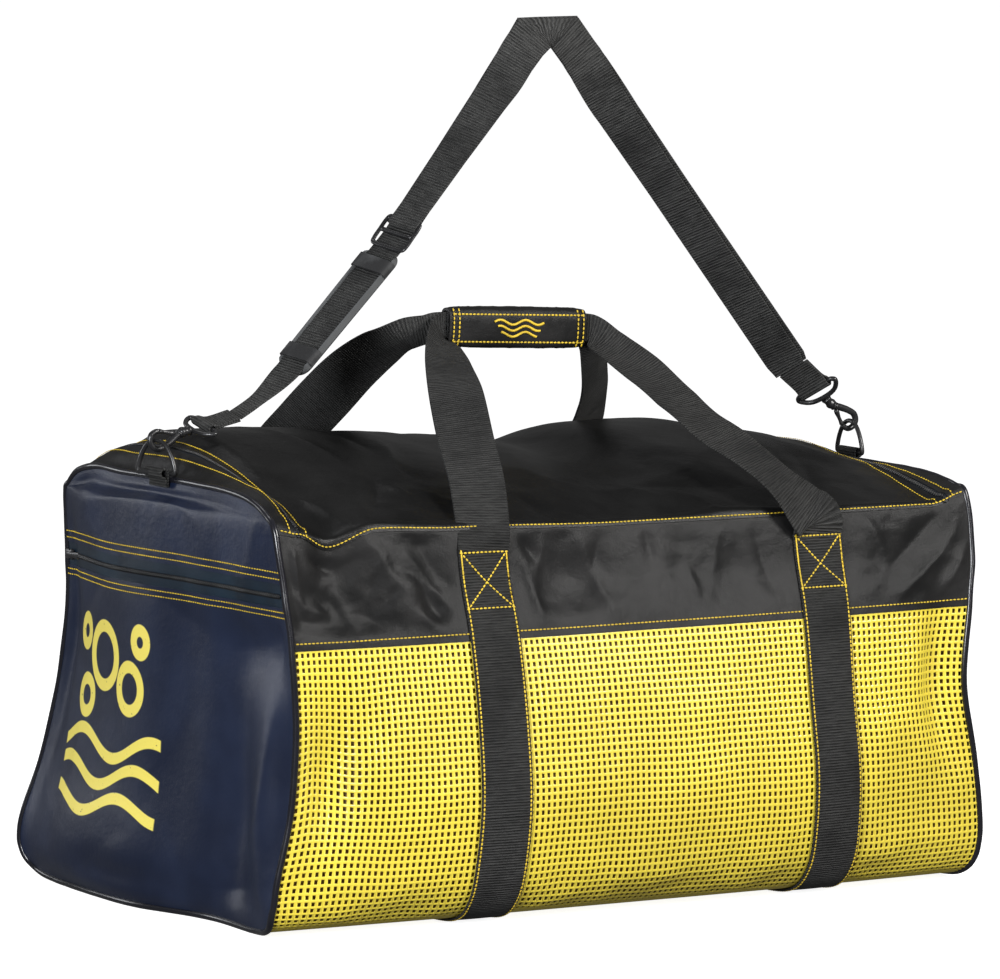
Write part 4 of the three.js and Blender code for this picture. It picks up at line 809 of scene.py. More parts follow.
def net_tree():
    """Each cell of a grid becomes a hole with rounded strands round it, front and back."""
    inputs = [("Hole share", "length", 0.6), ("Narrowing", "length", 0.75), ("Strand depth", "length", 0.0018)]
    tree = Repeat("net strands", inputs)
    hole, narrow, depth = tree.use("Hole share"), tree.use("Narrowing"), tree.use("Strand depth")
    normal = tree.make("GeometryNodeInputNormal")

    def moved(geometry, selection, reach):
        offset = tree.make("ShaderNodeVectorMath", {"operation": "SCALE"}, {0: normal, "Scale": reach})
        inputs = {"Geometry": geometry, "Offset": offset}
        if selection is not None:
            inputs["Selection"] = selection
        return tree.make("GeometryNodeSetPosition", inputs=inputs)

    def strands(cells, sink):
        inputs = {"Mesh": cells, "Offset Scale": 0.0, "Individual": True}
        cut = tree.make("GeometryNodeExtrudeMesh", {"mode": "FACES"}, inputs)
        top = cut.of("Top")
        inputs = {"Geometry": cut.of("Mesh"), "Selection": top, "Scale": hole}
        shrunk = tree.make("GeometryNodeScaleElements", {"domain": "FACE"}, inputs)
        inputs = {"Geometry": shrunk, "Selection": top, "Scale": narrow, "Axis": (1.0, 0.0, 0.0)}
        squeezed = tree.make("GeometryNodeScaleElements", {"domain": "FACE", "scale_mode": "SINGLE_AXIS"}, inputs)
        sunk = moved(squeezed, top, sink)
        return tree.make("GeometryNodeDeleteGeometry", {"domain": "FACE"}, {"Geometry": sunk, "Selection": top})

    cells = tree.use("Geometry")
    front = strands(cells, depth * -0.5)
    behind = moved(cells, None, depth * -1.0)
    turned = tree.make("GeometryNodeFlipFaces", inputs={"Mesh": behind})
    back = strands(turned, depth * -0.5)
    return tree.close(tree.make("GeometryNodeJoinGeometry", inputs={"Geometry": [front, back]}), "net")


def bead_tree(name, material, zigzag):
    """Small beads along edges, turned by the edges and by their face attribute."""
    inputs = [("Pitch", "length", 0.0036), ("Bead length", "length", 0.0029), ("Bead width", "length", 0.001),
              ("Bead height", "length", 0.0008), ("Sideways", "length", zigzag)]
    tree = Repeat(name, inputs)
    curve = tree.make("GeometryNodeMeshToCurve", inputs={"Mesh": tree.use("Geometry")})
    spaced = {"Curve": curve, "Length": tree.use("Pitch")}
    even = tree.make("GeometryNodeResampleCurve", {"mode": "LENGTH"}, spaced)
    tangent = tree.make("GeometryNodeInputTangent")
    face = tree.make("GeometryNodeInputNamedAttribute", {"data_type": "FLOAT_VECTOR"}, {"Name": "face"})
    aligned = tree.make("FunctionNodeAlignRotationToVector", {"axis": "X"}, {"Vector": tangent})
    turned = {"Rotation": aligned, "Vector": face}
    rotation = tree.make("FunctionNodeAlignRotationToVector", {"axis": "Z", "pivot_axis": "X"}, turned)
    index = tree.make("GeometryNodeInputIndex")
    parity = index.maths("MODULO", 2.0) * 2.0 - 1.0
    side = tree.make("ShaderNodeVectorMath", {"operation": "CROSS_PRODUCT"}, {0: tangent, 1: face})
    step = {0: side, "Scale": parity * tree.use("Sideways")}
    offset = tree.make("ShaderNodeVectorMath", {"operation": "SCALE"}, step)
    set_off = tree.make("GeometryNodeSetPosition", inputs={"Geometry": even, "Offset": offset})
    ball = tree.make("GeometryNodeMeshUVSphere", inputs={"Segments": 6, "Rings": 4, "Radius": 0.5})
    parts = {"X": tree.use("Bead length"), "Y": tree.use("Bead width"), "Z": tree.use("Bead height")}
    size = tree.make("ShaderNodeCombineXYZ", inputs=parts)
    placed = {"Points": set_off, "Instance": ball, "Rotation": rotation, "Scale": size}
    return tree.close(tree.make("GeometryNodeInstanceOnPoints", inputs=placed), material)


def line_piece(name, paths):
    """Edges along paths of (points, normals) in standing millimetres."""
    points, normals, edges = [], [], []
    for places, facing in paths:
        start = len(points)
        points += list(places)
        normals += list(np.broadcast_to(facing, np.shape(places)))
        edges += [(start + k, start + k + 1) for k in range(len(places) - 1)]
    mesh = bpy.data.meshes.new(name)
    mesh.from_pydata(to_row(points).tolist(), edges, [])
    face = mesh.attributes.new("face", "FLOAT_VECTOR", "POINT")
    face.data.foreach_set("vector", np.asarray(normals, float).ravel())
    piece = bpy.data.objects.new(name, mesh)
    bpy.context.scene.collection.objects.link(piece)
    return piece or piece


def beads(name, paths, tree, slot, **sizes):
    piece = line_piece(name, paths)
    return finish_piece(apply_tree(piece, bpy.data.node_groups[tree], **sizes))


def on_body(us, vs, out):
    """A sewn line on the bag's cloth, with its normals."""
    us, vs = np.broadcast_arrays(np.asarray(us, float), np.asarray(vs, float))
    return body(us, vs, out), outward(us, vs)


def on_end(sign, ss, ts, out):
    ss, ts = np.broadcast_arrays(np.asarray(ss, float), np.asarray(ts, float))
    return end_point(sign, ss, ts, out), np.array([sign, 0.0, 0.0])


def span(a, b, count):
    return np.linspace(a, b, count)


# Lines round and along the bag
EDGE_U = 1.6 / LENGTH
WALL_U = span(EDGE_U, 1 - EDGE_U, 281)
ZIP_U = (ZIP_OUTER / LENGTH, ZIP_INNER / LENGTH)


def even_rows(low, high, pitch):
    """Rows of equal length round the bag from one seam to another."""
    fine = span(low, high, 400)
    far = lengths(sleeve(np.full(400, 0.5), fine))
    count = max(2, round(far[-1] / pitch))
    return np.interp(span(0, far[-1], count + 1), far, fine)


def frame_rotation(x_axis, y_axis):
    """Columns: x along the first direction, y along the second, z across them."""
    x_axis, y_axis = unit(np.array(x_axis, float)), unit(np.array(y_axis, float))
    return np.stack([x_axis, y_axis, np.cross(x_axis, y_axis)])


def ring_place(sign):
    top = outline(sign, np.array(15.0), 0)
    return top * (1, 0, 1) + (sign * (PIPING_RADIUS + TAB_STANDOFF[sign] + TAB_OUTER), 0, RING_LIFT)


def hook_place(sign):
    ring = ring_place(sign)
    direction = np.array([sign * math.cos(HOOK_TILT[sign]), 0, -math.sin(HOOK_TILT[sign])])
    wire_top = ring + (0, 0, RING_HEIGHT)
    return wire_top - direction * (HOOK_REACH + HOOK_SEAT[sign]), direction


def hook_axes(sign, swivelled):
    """The hook's own x, y and z directions; its frame is rolled about x."""
    _, x_axis = hook_place(sign)
    y_axis = np.array([0.0, 1.0, 0.0])
    z_axis = np.cross(x_axis, y_axis)
    if swivelled:
        roll = HOOK_SWIVEL[sign]
        y_axis, z_axis = (
            y_axis * math.cos(roll) + z_axis * math.sin(roll),
            z_axis * math.cos(roll) - y_axis * math.sin(roll),
        )
    return np.stack([x_axis, y_axis, z_axis])


def strap_end(sign):
    slot, direction = hook_place(sign)
    return slot - direction * (LOOP_LENGTH + 1.75), np.array([-sign * direction[2], 0, sign * direction[0]])


APEX_LEFT = (APEX[0] - APEX_HALF * 0.6, APEX[1] - APEX_DROP * 0.62)
APEX_RIGHT = (APEX[0] + APEX_HALF * 0.6, APEX[1] - APEX_DROP * 0.62)


def apex_rows(shift):
    """Stations that share the strap's notch and fan out to its folded top."""
    rows = []
    for k in (1, 0.33, -0.33, -1):
        top = np.array([APEX[0] + k * APEX_HALF, 0, APEX[1] - shift])
        low = np.array([APEX[0] + k * 1.2, 0, APEX[1] - APEX_DROP - shift])
        rows.append(((top + low) / 2, unit(top - low), np.linalg.norm(top - low)))
    return rows


def leg_rows(start, end, count):
    (x0, z0), (x1, z1) = start, end
    across = unit(np.array([-(z1 - z0), 0, x1 - x0]))
    return [(np.array([mix(x0, x1, t), 0, mix(z0, z1, t)]), across, STRAP_WIDTH) for t in span(0, 1, count)]


def strap_piece(name, rows, behind, shifts):
    """The strap through stations of centre, across and width, turned about its run."""
    centres = np.array([row[0] for row in rows], float)
    across = np.array([row[1] for row in rows], float)
    for k in range(1, len(across)):
        if across[k] @ across[k - 1] < 0:
            across[k] = -across[k]
    widths = np.array([row[2] for row in rows], float)
    along = tangents(centres)
    normal = unit(np.cross(across, along))
    if normal[0, 1] > 0:
        across, normal = -across, -normal
    far = lengths(centres)
    far = far - far[np.argmax(centres[:, 2])]
    across, normal = rolled_pair(across, normal, np.interp(far, *np.array(STRAP_TURNS, float).T))
    centres = centres - normal * np.array(behind, float)[:, None] + across * np.array(shifts, float)[:, None]
    return webbing(name, centres, across, normal, widths, "strap_webbing")


def roll_about(points, start, finish, degrees):
    """Turns points about the line between two places of the strap, from one angle to another."""
    start, run = np.array([start[0], 0, start[1]], float), np.subtract(finish, start)
    far = np.hypot(*run)
    axis = np.array([run[0], 0, run[1]]) / far
    points = np.asarray(points, float)
    t = ((points - start) @ axis)[..., None]
    turn = np.radians(mix(*degrees, np.clip(t / far, 0, 1)))
    off = points - start - t * axis
    return start + t * axis + off * np.cos(turn) + np.cross(axis, off) * np.sin(turn)


# Settings a user would change
def size(label, about, default, low=0.0, high=1.0):
    return bpy.props.FloatProperty(
        name=label, description=about, default=default, min=low, max=high, unit="LENGTH", precision=4
    )


def tint(label, about, default):
    return bpy.props.FloatVectorProperty(
        name=label, description=about, default=default, min=0, max=1, size=3, subtype="COLOR"
    )


class BagSizes(bpy.types.PropertyGroup):
    """Sizes of what repeats on the bag."""

    net_across: size("Net pitch along", "Distance between the net's upright strands", 0.00575)
    net_up: size("Net pitch up", "Distance between the net's level strands", 0.0065)
    net_depth: size("Net thickness", "Thickness of the net's strands", 0.0018)
    net_hole: bpy.props.FloatProperty(
        name="Net hole share", description="Share of each cell that is open", default=0.6, min=0.1, max=0.9
    )
    stitch_pitch: size("Stitch pitch", "Distance between stitches", 0.0038)
    stitch_length: size("Stitch length", "Length of the thread that shows in each stitch", 0.0034)
    stitch_width: size("Thread width", "Width of the sewing thread", 0.0014)
    tooth_pitch: size("Zipper pitch", "Distance between the zipper coil's turns", 0.0015)


class BagColours(bpy.types.PropertyGroup):
    """Base colours of the bag's materials."""

    net: tint("Net", "Coated net", (0.90, 0.72, 0.07))
    coated: tint("Coated cloth", "Band, lid and grip", (0.011, 0.011, 0.011))
    coated_light: tint("Coated cloth, worn", "Paler places of the band and lid", (0.022, 0.0215, 0.0215))
    navy: tint("End cloth", "Both ends and the pocket", (0.006, 0.011, 0.031))
    navy_light: tint("End cloth, worn", "Paler places of the ends", (0.012, 0.02, 0.05))
    webbing: tint("Webbing", "Straps and handles", (0.006, 0.006, 0.006))
    webbing_light: tint("Webbing, raised", "The tops of its ribs", (0.06, 0.06, 0.058))
    thread: tint("Thread", "Sewing thread", (0.86, 0.6, 0.04))
    plastic: tint("Hard plastic", "Hooks, rings, glide and sliders", (0.013, 0.013, 0.014))
    piping: tint("Piping", "The corded seams of the ends", (0.01, 0.01, 0.014))
    rubber: tint("Rubber", "The shoulder pad", (0.018, 0.018, 0.019))
    rubber_edge: tint("Rubber edge", "The shoulder pad's worn edge", (0.085, 0.088, 0.09))


class BagOperator:
    """What the bag's operators share."""

    bl_options = {"REGISTER", "UNDO"}

    @property
    def sizes(self):
        return bpy.context.scene.bag_sizes

    @property
    def colours(self):
        return bpy.context.scene.bag_colours


class BAG_OT_finishes(BagOperator, bpy.types.Operator):
    """Make every material and the trees for what repeats"""

    bl_idname = "bag.finishes"
    bl_label = "Materials"

    def execute(self, context):
        c = self.colours
        make_net_finish(c.net)
        make_coated_finish("coated_cloth", c.coated, 0.3, c.coated_light, crinkle=0.3, gloss=0.15)
        # The lid's cloth is a darker copy of the coated cloth: painted shade on the lid's top.
        make_coated_finish("lid_cloth", [0.006, 0.006, 0.006], 0.24, c.coated, crinkle=0.3, gloss=0.24)
        make_coated_finish("navy_cloth", c.navy, 0.3, c.navy_light, crinkle=0.26)
        make_print_finish(c.navy, c.navy_light, [1.0, 0.84, 0.15])
        make_webbing_finish("webbing", c.webbing, [0.052, 0.052, 0.05], 0.0025, 0.0)
        make_webbing_finish("strap_webbing", c.webbing, [0.085, 0.085, 0.082], 0.0026, 0.0)
        make_plain_finish("piping", c.piping, [0.014, 0.014, 0.018], 0.16, 60.0, 0.0, 0.05)
        make_plain_finish("zipper_coil", c.plastic, [0.03, 0.03, 0.03], 0.35)
        make_coated_finish("zipper_tape", [0.005, 0.007, 0.011], 0.4, [0.01, 0.013, 0.02], 1300.0, 0.15)
        # The pocket's zipper tape is dark navy; its blue tint and paler teal patches are partly a painted sheen.
        make_coated_finish("pocket_tape", [0.005, 0.012, 0.022], 0.36, [0.009, 0.024, 0.042], 1300.0, 0.15)
        make_plain_finish("hard_plastic", c.plastic, [0.026, 0.026, 0.027], 0.28, 260.0, 0.2)
        make_plain_finish("rubber", c.rubber, c.rubber_edge, 0.6, 500.0, 0.0, 0.35)
        make_plain_finish("rubber_edge", c.rubber_edge, [c * 1.2 for c in c.rubber_edge], 0.5, 400.0)
        # The dark brownish sheet behind the net is painted shade for the inside seen through the net's holes.
        make_plain_finish("painted_shade_sheet", [0.13, 0.065, 0.005], [0.19, 0.10, 0.008], 0.5, 30.0)
        make_thread_finish(c.thread)
        net_tree()
        bead_tree("stitches", "thread", 0.0)
        bead_tree("zipper turns", "zipper_coil", 0.0006)
        return {"FINISHED"}


class BAG_OT_net(BagOperator, bpy.types.Operator):
    """Make the net's front, bottom and back"""

    bl_idname = "bag.net"
    bl_label = "Net"

    def execute(self, context):
        parts = {"front": (TURN, BAND_SEAM + 0.06), "bottom": (-TURN, TURN), "back": (ROWS - BAND_SEAM - 0.06, ROWS - TURN)}
        columns = round(LENGTH * 1.013 / 1000 / self.sizes.net_across)
        us = span(EDGE_U, 1 - EDGE_U, columns + 1)
        for name, (low, high) in parts.items():
            vs = even_rows(low, high, self.sizes.net_up * 1000)
            u, v = np.meshgrid(us, vs, indexing="ij")
            loose = smooth(u / 0.03) * smooth((1 - u) / 0.03) * smooth((v - low) / 0.6) * smooth((high - v) / 0.6)
            loose = loose * beside_strips(u)
            u = u + 0.0009 * loose * noise(u * 14, v * 0.9, 61)
            v = v + (0.012 + 0.07 * smooth((0.17 - u) / 0.1)) * loose * noise(u * 11, v * 0.8, 62)
            faces = grid_faces(len(us), len(vs))
            piece = new_piece(f"net_{name}", body(u, v), faces.tolist(), "net")
            outside = outward(np.array([0.5]), np.array([(low + high) / 2]))[0]
            middle = piece.data.polygons[len(faces) // 2].normal
            if outside @ np.array(middle) < 0:
                piece.data.flip_normals()
            tree = bpy.data.node_groups["net strands"]
            apply_tree(piece, tree, Hole_share=self.sizes.net_hole, Strand_depth=self.sizes.net_depth)
            finish_piece(piece, f"mesh_{name}")
            declare_cloth(piece, LENGTH / 1000, 0.25)
        self.make_painted_shade_sheet()
        return {"FINISHED"}

    def make_painted_shade_sheet(self):
        """A thin dark sheet close behind the net: painted shade for the inside seen through its holes."""
        vs = span(-BAND_SEAM, BAND_SEAM, 111)
        painted_shade_sheet = cloth_wall("net_painted_shade_sheet", WALL_U[::2], vs, "painted_shade_sheet", -6.0, thickness=0.8)
        finish_piece(painted_shade_sheet)
        declare_cloth(painted_shade_sheet, LENGTH / 1000, 0.9)


class BAG_OT_cloth(BagOperator, bpy.types.Operator):
    """Make the band, the lid, its border and the ends"""

    bl_idname = "bag.cloth"
    bl_label = "Cloth panels"

    def execute(self, context):
        bands = {"front": (BAND_SEAM - 0.04, TOP_SEAM + 0.03), "back": (ROWS - TOP_SEAM - 0.03, ROWS - BAND_SEAM + 0.04)}
        for name, (low, high) in bands.items():
            piece = cloth_wall(f"band_cloth_{name}", WALL_U, span(low, high, 41), "coated_cloth", 0.5)
            finish_piece(piece, f"band_{name}")
            declare_cloth(piece, LENGTH / 1000, BAND_HEIGHT / 1000)
        lid_us = span(ZIP_U[1] - 0.004, 1 - ZIP_U[1] + 0.004, 221)
        lid = cloth_wall("lid_cloth", lid_us, span(TOP_SEAM - 0.03, ZIP_BACK[0] + 0.05, 131), "lid_cloth", 1.4)
        finish_piece(lid, "lid_panel")
        declare_cloth(lid, 0.65, 0.41)
        self.make_border()
        self.make_ends()
        return {"FINISHED"}

    def make_border(self):
        """The border outside the lid's zipper: two sides and the back."""
        strips = [
            (span(EDGE_U, ZIP_U[0] + 0.003, 9), span(TOP_SEAM - 0.03, 20.03, 141)),
            (span(1 - ZIP_U[0] - 0.003, 1 - EDGE_U, 9), span(TOP_SEAM - 0.03, 20.03, 141)),
            (span(ZIP_U[0] + 0.002, 1 - ZIP_U[0] - 0.002, 241), span(ZIP_BACK[1] - 0.04, 20.03, 17)),
        ]
        for name, (us, vs) in zip(("left", "right", "back"), strips):
            piece = cloth_wall(f"lid_border_{name}", us, vs, "coated_cloth", 1.3)
            finish_piece(piece, *(["lid_border"] if name == "left" else []))
            width = (us[-1] - us[0]) * LENGTH / 1000
            declare_cloth(piece, width, surface_area(piece) / 2 / width)

    def make_ends(self):
        low, high = (end_share(height) for height in POCKET_ZIP)
        across = span(0, 1, 101)
        parts = [
            ("pocket_cloth", -1, span(0, low + 0.004, 87), "printed_cloth", "pocket_panel_left"),
            ("end_cloth_left", -1, span(high - 0.004, 1, 31), "navy_cloth", "end_panel_left"),
            ("end_cloth_right", 1, span(0, 1, 121), "navy_cloth", "end_panel_right"),
        ]
        for name, sign, ups, material, node in parts:
            place = lambda s, t, out, sign=sign: end_point(sign, s, t, out)
            piece = cloth_wall(name, across, ups, material, 1.0, place)
            finish_piece(piece, node)
            declare_cloth(piece, 0.4, surface_area(piece) / 2 / 0.4)


class BAG_OT_piping(BagOperator, bpy.types.Operator):
    """Make the corded seams round both ends"""

    bl_idname = "bag.piping"
    bl_label = "Piping"

    def execute(self, context):
        for name, sign in (("left", -1), ("right", 1)):
            vs = span(0, ROWS, 361)[:-1]
            centres = outline(sign, vs, 0.6)
            centres = centres + unit(np.array([sign, 0, 0])) * 0.35 * noise(vs * 2.3, vs * 0, 71)[:, None]
            radius = PIPING_RADIUS * (1.0 + 0.05 * noise(vs * 3.1, vs * 0, 72))
            rings = wire_rings(centres, radius, (1, 0, 0), 12, True)
            finish_piece(tube(f"piping_cord_{name}", rings, "piping", True), f"piping_{name}")
        return {"FINISHED"}


class BAG_OT_zippers(BagOperator, bpy.types.Operator):
    """Make the lid's zipper, the pocket's zipper and their sliders"""

    bl_idname = "bag.zippers"
    bl_label = "Zippers"

    def execute(self, context):
        middle = (ZIP_U[0] + ZIP_U[1]) / 2
        back = sum(ZIP_BACK) / 2
        sides = span(TOP_SEAM, back, 150)
        paths = [
            (np.full(150, middle), sides),
            (span(middle, 1 - middle, 300), np.full(300, back)),
            (np.full(150, 1 - middle), sides[::-1]),
        ]
        tapes = [
            (span(ZIP_U[0] - 0.002, ZIP_U[1] + 0.002, 7), span(TOP_SEAM, ZIP_BACK[1], 131)),
            (1 - span(ZIP_U[1] + 0.002, ZIP_U[0] - 0.002, 7)[::-1], span(TOP_SEAM, ZIP_BACK[1], 131)),
            (span(ZIP_U[0], 1 - ZIP_U[0], 201), span(ZIP_BACK[0] - 0.03, ZIP_BACK[1] + 0.03, 9)),
        ]
        for name, (us, vs) in zip(("left", "right", "back"), tapes):
            piece = cloth_wall(f"lid_tape_{name}", np.sort(us), vs, "zipper_tape", 0.55, thickness=0.8)
            finish_piece(piece, *(["lid_zipper"] if name == "left" else []))
            width = 0.014 if name != "back" else LENGTH / 1000
            declare_cloth(piece, width, surface_area(piece) / 2 / width)
        turns = dict(Pitch=self.sizes.tooth_pitch, Bead_length=0.0009, Bead_width=0.0042, Bead_height=0.0022)
        coil = [on_body(us, vs, 1.4) for us, vs in paths]
        beads("lid_coil", coil, "zipper turns", "zipper", **turns)
        low, high = (end_share(height) for height in POCKET_ZIP)
        place = lambda s, t, out: end_point(-1, s, t, out)
        tape = cloth_wall("pocket_tape", span(0.005, 0.995, 101), span(low - 0.002, high + 0.002, 13), "pocket_tape", 0.2, place)
        finish_piece(tape, "pocket_zipper")
        declare_cloth(tape, 0.4, surface_area(tape) / 2 / 0.4)
        run = on_end(-1, span(0.02, 0.97, 160), (low + high) / 2, 1.2)
        beads("pocket_coil", [run], "zipper turns", "zipper", **turns)
        self.make_slider("lid", back)
        self.make_pocket_slider((low + high) / 2)
        return {"FINISHED"}

    def make_slider(self, name, v):
        """A slider on the lid's back stretch and its pull, lying on the zipper."""
        centre, facing = on_body(np.array([0.5]), np.array([v]), 3.4)
        axes = frame_rotation((1, 0, 0), np.cross(facing[0], (1, 0, 0)))
        finish_piece(slider(f"{name}_slider_body", centre[0], axes), f"{name}_slider")
        there = centre[0] + axes[0] * 19
        finish_piece(pull(f"{name}_slider_pull", there, axes), f"{name}_pull")

    def make_pocket_slider(self, t):
        centre = end_point(-1, np.array([0.955]), np.array([t]), 3.0)[0]
        axes = np.array([(0, -1, 0), (0, 0, 1), (-1, 0, 0)], float)
        finish_piece(slider("pocket_slider_body", centre, axes), "pocket_slider")
        finish_piece(pull("pocket_slider_pull", centre + axes[0] * 11 + axes[2] * 2.4, axes), "pocket_pull")


def slider(name, centre, axes):
    """A zipper slider: a waisted body with a bridge along its top."""
    rings = []
    for x, width, height in ((-6.5, 3, 1.6), (-6, 4.4, 3), (-2, 4.8, 3.6), (1, 3.6, 3.8), (5, 5, 3.4), (6.3, 4.4, 2.6), (6.6, 3, 1.6)):
        angle = np.arange(16) * math.pi / 8
        y = width * np.sign(np.cos(angle)) * np.abs(np.cos(angle)) ** 0.6
        z = height / 2 * np.sign(np.sin(angle)) * np.abs(np.sin(angle)) ** 0.6
        rings.append(centre + x * axes[0] + y[:, None] * axes[1] + z[:, None] * axes[2])
    return tube(name, rings, "hard_plastic", False, soft=False)


def pull(name, centre, axes):
    """A flat moulded pull, wider towards its end, with a waist."""
    rings = []
    for x, width in ((-13, 1.6), (-12.4, 2.4), (-8, 2.3), (-3, 2.0), (4, 2.9), (10, 3.2), (12.4, 2.6), (13, 1.6)):
        angle = np.arange(12) * math.pi / 6
        y, z = width * np.cos(angle), 1.0 * np.sign(np.sin(angle)) * np.abs(np.sin(angle)) ** 0.5
        rings.append(centre + x * axes[0] + y[:, None] * axes[1] + z[:, None] * axes[2])
    return tube(name, rings, "hard_plastic", False, soft=False)


class BAG_OT_girths(BagOperator, bpy.types.Operator):
    """Make the webbing round the bag and the two carry handles"""

    bl_idname = "bag.girths"
    bl_label = "Girths and handles"

    def execute(self, context):
        for name, x in zip(("left", "right"), STRIP_X):
            vs = np.concatenate([
                span(-STRIP_TOP_V, -TURN, 90), span(-TURN, TURN, 60)[1:-1], span(TURN, STRIP_TOP_V, 90)
            ])
            across, out = band_section(STRIP_WIDTH, WEBBING)
            edge = smooth(np.abs(across) / 25)
            u = u_of(x + across)[None, :] + 0 * vs[:, None]
            v = vs[:, None] + 0 * u
            rings = body(u, v, out[None, :] + 1.75 - 0.15 * edge[None, :])
            rings[..., 2] = np.maximum(rings[..., 2], 0.05)
            travelled = lengths(rings[:, 3])
            uv = np.stack(np.broadcast_arrays(across[None, :] / 1000, travelled[:, None] / 1000), -1)
            finish_piece(tube(f"girth_web_{name}", rings, "webbing", False, uv, False), f"girth_strip_{name}")
        for name, side in (("front", -1), ("back", 1)):
            finish_piece(self.make_handle(name, side), f"handle_{name}")
        return {"FINISHED"}

    def make_handle(self, name, side):
        start_v = STRIP_TOP_V - 0.02 if side < 0 else ROWS - STRIP_TOP_V + 0.02
        rows = []
        for leg, x, end in ((LEGS[f"{name}_left"], STRIP_X[0], -1), (LEGS[f"{name}_right"], STRIP_X[1], 1)):
            start = body(np.array(u_of(x)), np.array(start_v), 1.9)
            finish = np.array([
                GRIP[0] + end * (GRIP_LENGTH / 2 + GRIP_LEAD), side * HANDLE_SPACING / 2, GRIP[2] - end * GRIP_DROP / 2
            ])
            places = [(*mix(start, finish, np.array(row[:3])), STRIP_WIDTH * row[3], row[4]) for row in leg]
            rows.append(places if end < 0 else places[::-1])
        grip = []
        for t in span(-1, 1, 5):
            x = GRIP[0] + t * (GRIP_LENGTH / 2 + GRIP_LEAD)
            grip.append((x, side * HANDLE_SPACING / 2, GRIP[2] - t * GRIP_DROP / 2, HANDLE_FOLDED, 0))
        path = rounded_path(np.array([*rows[0], *grip, *rows[1]]), 240)
        centres, widths = path[:, :3], path[:, 3]
        along = tangents(centres)
        across = unit(np.cross(along, (0, side, 0)))
        normal = unit(np.cross(across, along))
        folded = np.clip(1 - widths / STRIP_WIDTH, 0, 0.5)
        across, _ = rolled_pair(across, normal, path[:, 4])
        in_grip = smooth((GRIP_LENGTH / 2 + 16 - np.abs(centres[:, 0] - GRIP[0])) / 14)
        bows = folded * 15 * (1 - in_grip)
        across = unit(mix(across, np.array([0, 0, 1.0]) * np.sign(across[:, 2:3] + 1e-9), in_grip[:, None]))
        normal = unit(np.cross(across, along))
        return webbing(f"handle_web_{name}", centres, across, normal, widths, bows=bows)


class BAG_OT_grip(BagOperator, bpy.types.Operator):
    """Make the sleeve that joins the handles, with its stitches and its small raised waves"""

    bl_idname = "bag.grip"
    bl_label = "Grip sleeve"

    def execute(self, context):
        slope = math.atan2(GRIP_DROP, GRIP_LENGTH)
        along = np.array([math.cos(slope), 0, -math.sin(slope)])
        up = np.array([math.sin(slope), 0, math.cos(slope)])
        centre = np.array(GRIP, float)
        angle = np.arange(48) * math.pi / 24
        rings, inner = [], []
        stations = span(-1, 1, 61)
        for t in stations:
            plump = 1 + 0.05 * (1 - t * t) - 0.07 * smooth((abs(t) - 0.86) / 0.14)
            y = np.sign(np.sin(angle)) * np.abs(np.sin(angle)) ** 0.75 * GRIP_DEPTH / 2 * plump
            z = np.sign(np.cos(angle)) * np.abs(np.cos(angle)) ** 0.55 * GRIP_HEIGHT / 2 * plump
            wrinkle = 0.5 * crumple(t * 7 + 0 * angle, angle * 1.4, 81)
            spread = np.stack([0 * y, y, 0 * y], -1) + z[:, None] * up
            here = centre + t * GRIP_LENGTH / 2 * along
            rings.append(here + spread * (1 + wrinkle[:, None] / 22))
            inner.append(here + spread * 0.86)
        around = np.broadcast_to(angle / 6.283 * 0.1, (61, 48))
        uv = np.stack([np.broadcast_to(stations[:, None] * 0.07, (61, 48)), around], -1)
        points = np.concatenate([rings, inner[::-1]])
        piece = tube("grip_sleeve", points, "coated_cloth", True, np.concatenate([uv, uv[::-1]]), False)
        finish_piece(piece, "grip_wrap")
        face = np.array([0.0, -1.0, 0.0])
        paths = []
        for x in (-0.95, -0.87, 0.87, 0.95):
            paths.append(([self.on_grip(x, z) for z in span(-0.86, 0.86, 12)], face))
        for z in (-0.72, 0.66):
            paths.append(([self.on_grip(x, z) for x in span(-0.93, 0.93, 60)], face))
        sizes = dict(Pitch=self.sizes.stitch_pitch, Bead_length=self.sizes.stitch_length * 1.05)
        beads("grip_stitches", paths, "stitches", "coated_cloth", Bead_width=self.sizes.stitch_width * 1.3, **sizes)
        for k, height in enumerate((0.28, -0.02, -0.32)):
            reach = 0.36 - 0.05 * k
            crest = [self.on_grip(x, height + 0.12 * math.sin(x * 17), 0.4) for x in span(-reach, reach, 40)]
            rings = wire_rings(crest, 1.1, (0, 1, 0), 8)
            finish_piece(tube(f"grip_wave_{k + 1}", rings, "thread", False))
        return {"FINISHED"}

    def on_grip(self, x, z, lift=0.5):
        """A point on the sleeve's front: shares of its half length and half height."""
        slope = math.atan2(GRIP_DROP, GRIP_LENGTH)
        edge = math.acos(max(-1, min(1, abs(z) ** (1 / 0.55))))
        y = -(math.sin(edge) ** 0.75) * GRIP_DEPTH / 2 * 1.04 - lift
        along = x * GRIP_LENGTH / 2
        return np.array([
            GRIP[0] + along * math.cos(slope) + z * GRIP_HEIGHT / 2 * math.sin(slope), y,
            GRIP[2] - along * math.sin(slope) + z * GRIP_HEIGHT / 2 * math.cos(slope),
        ])


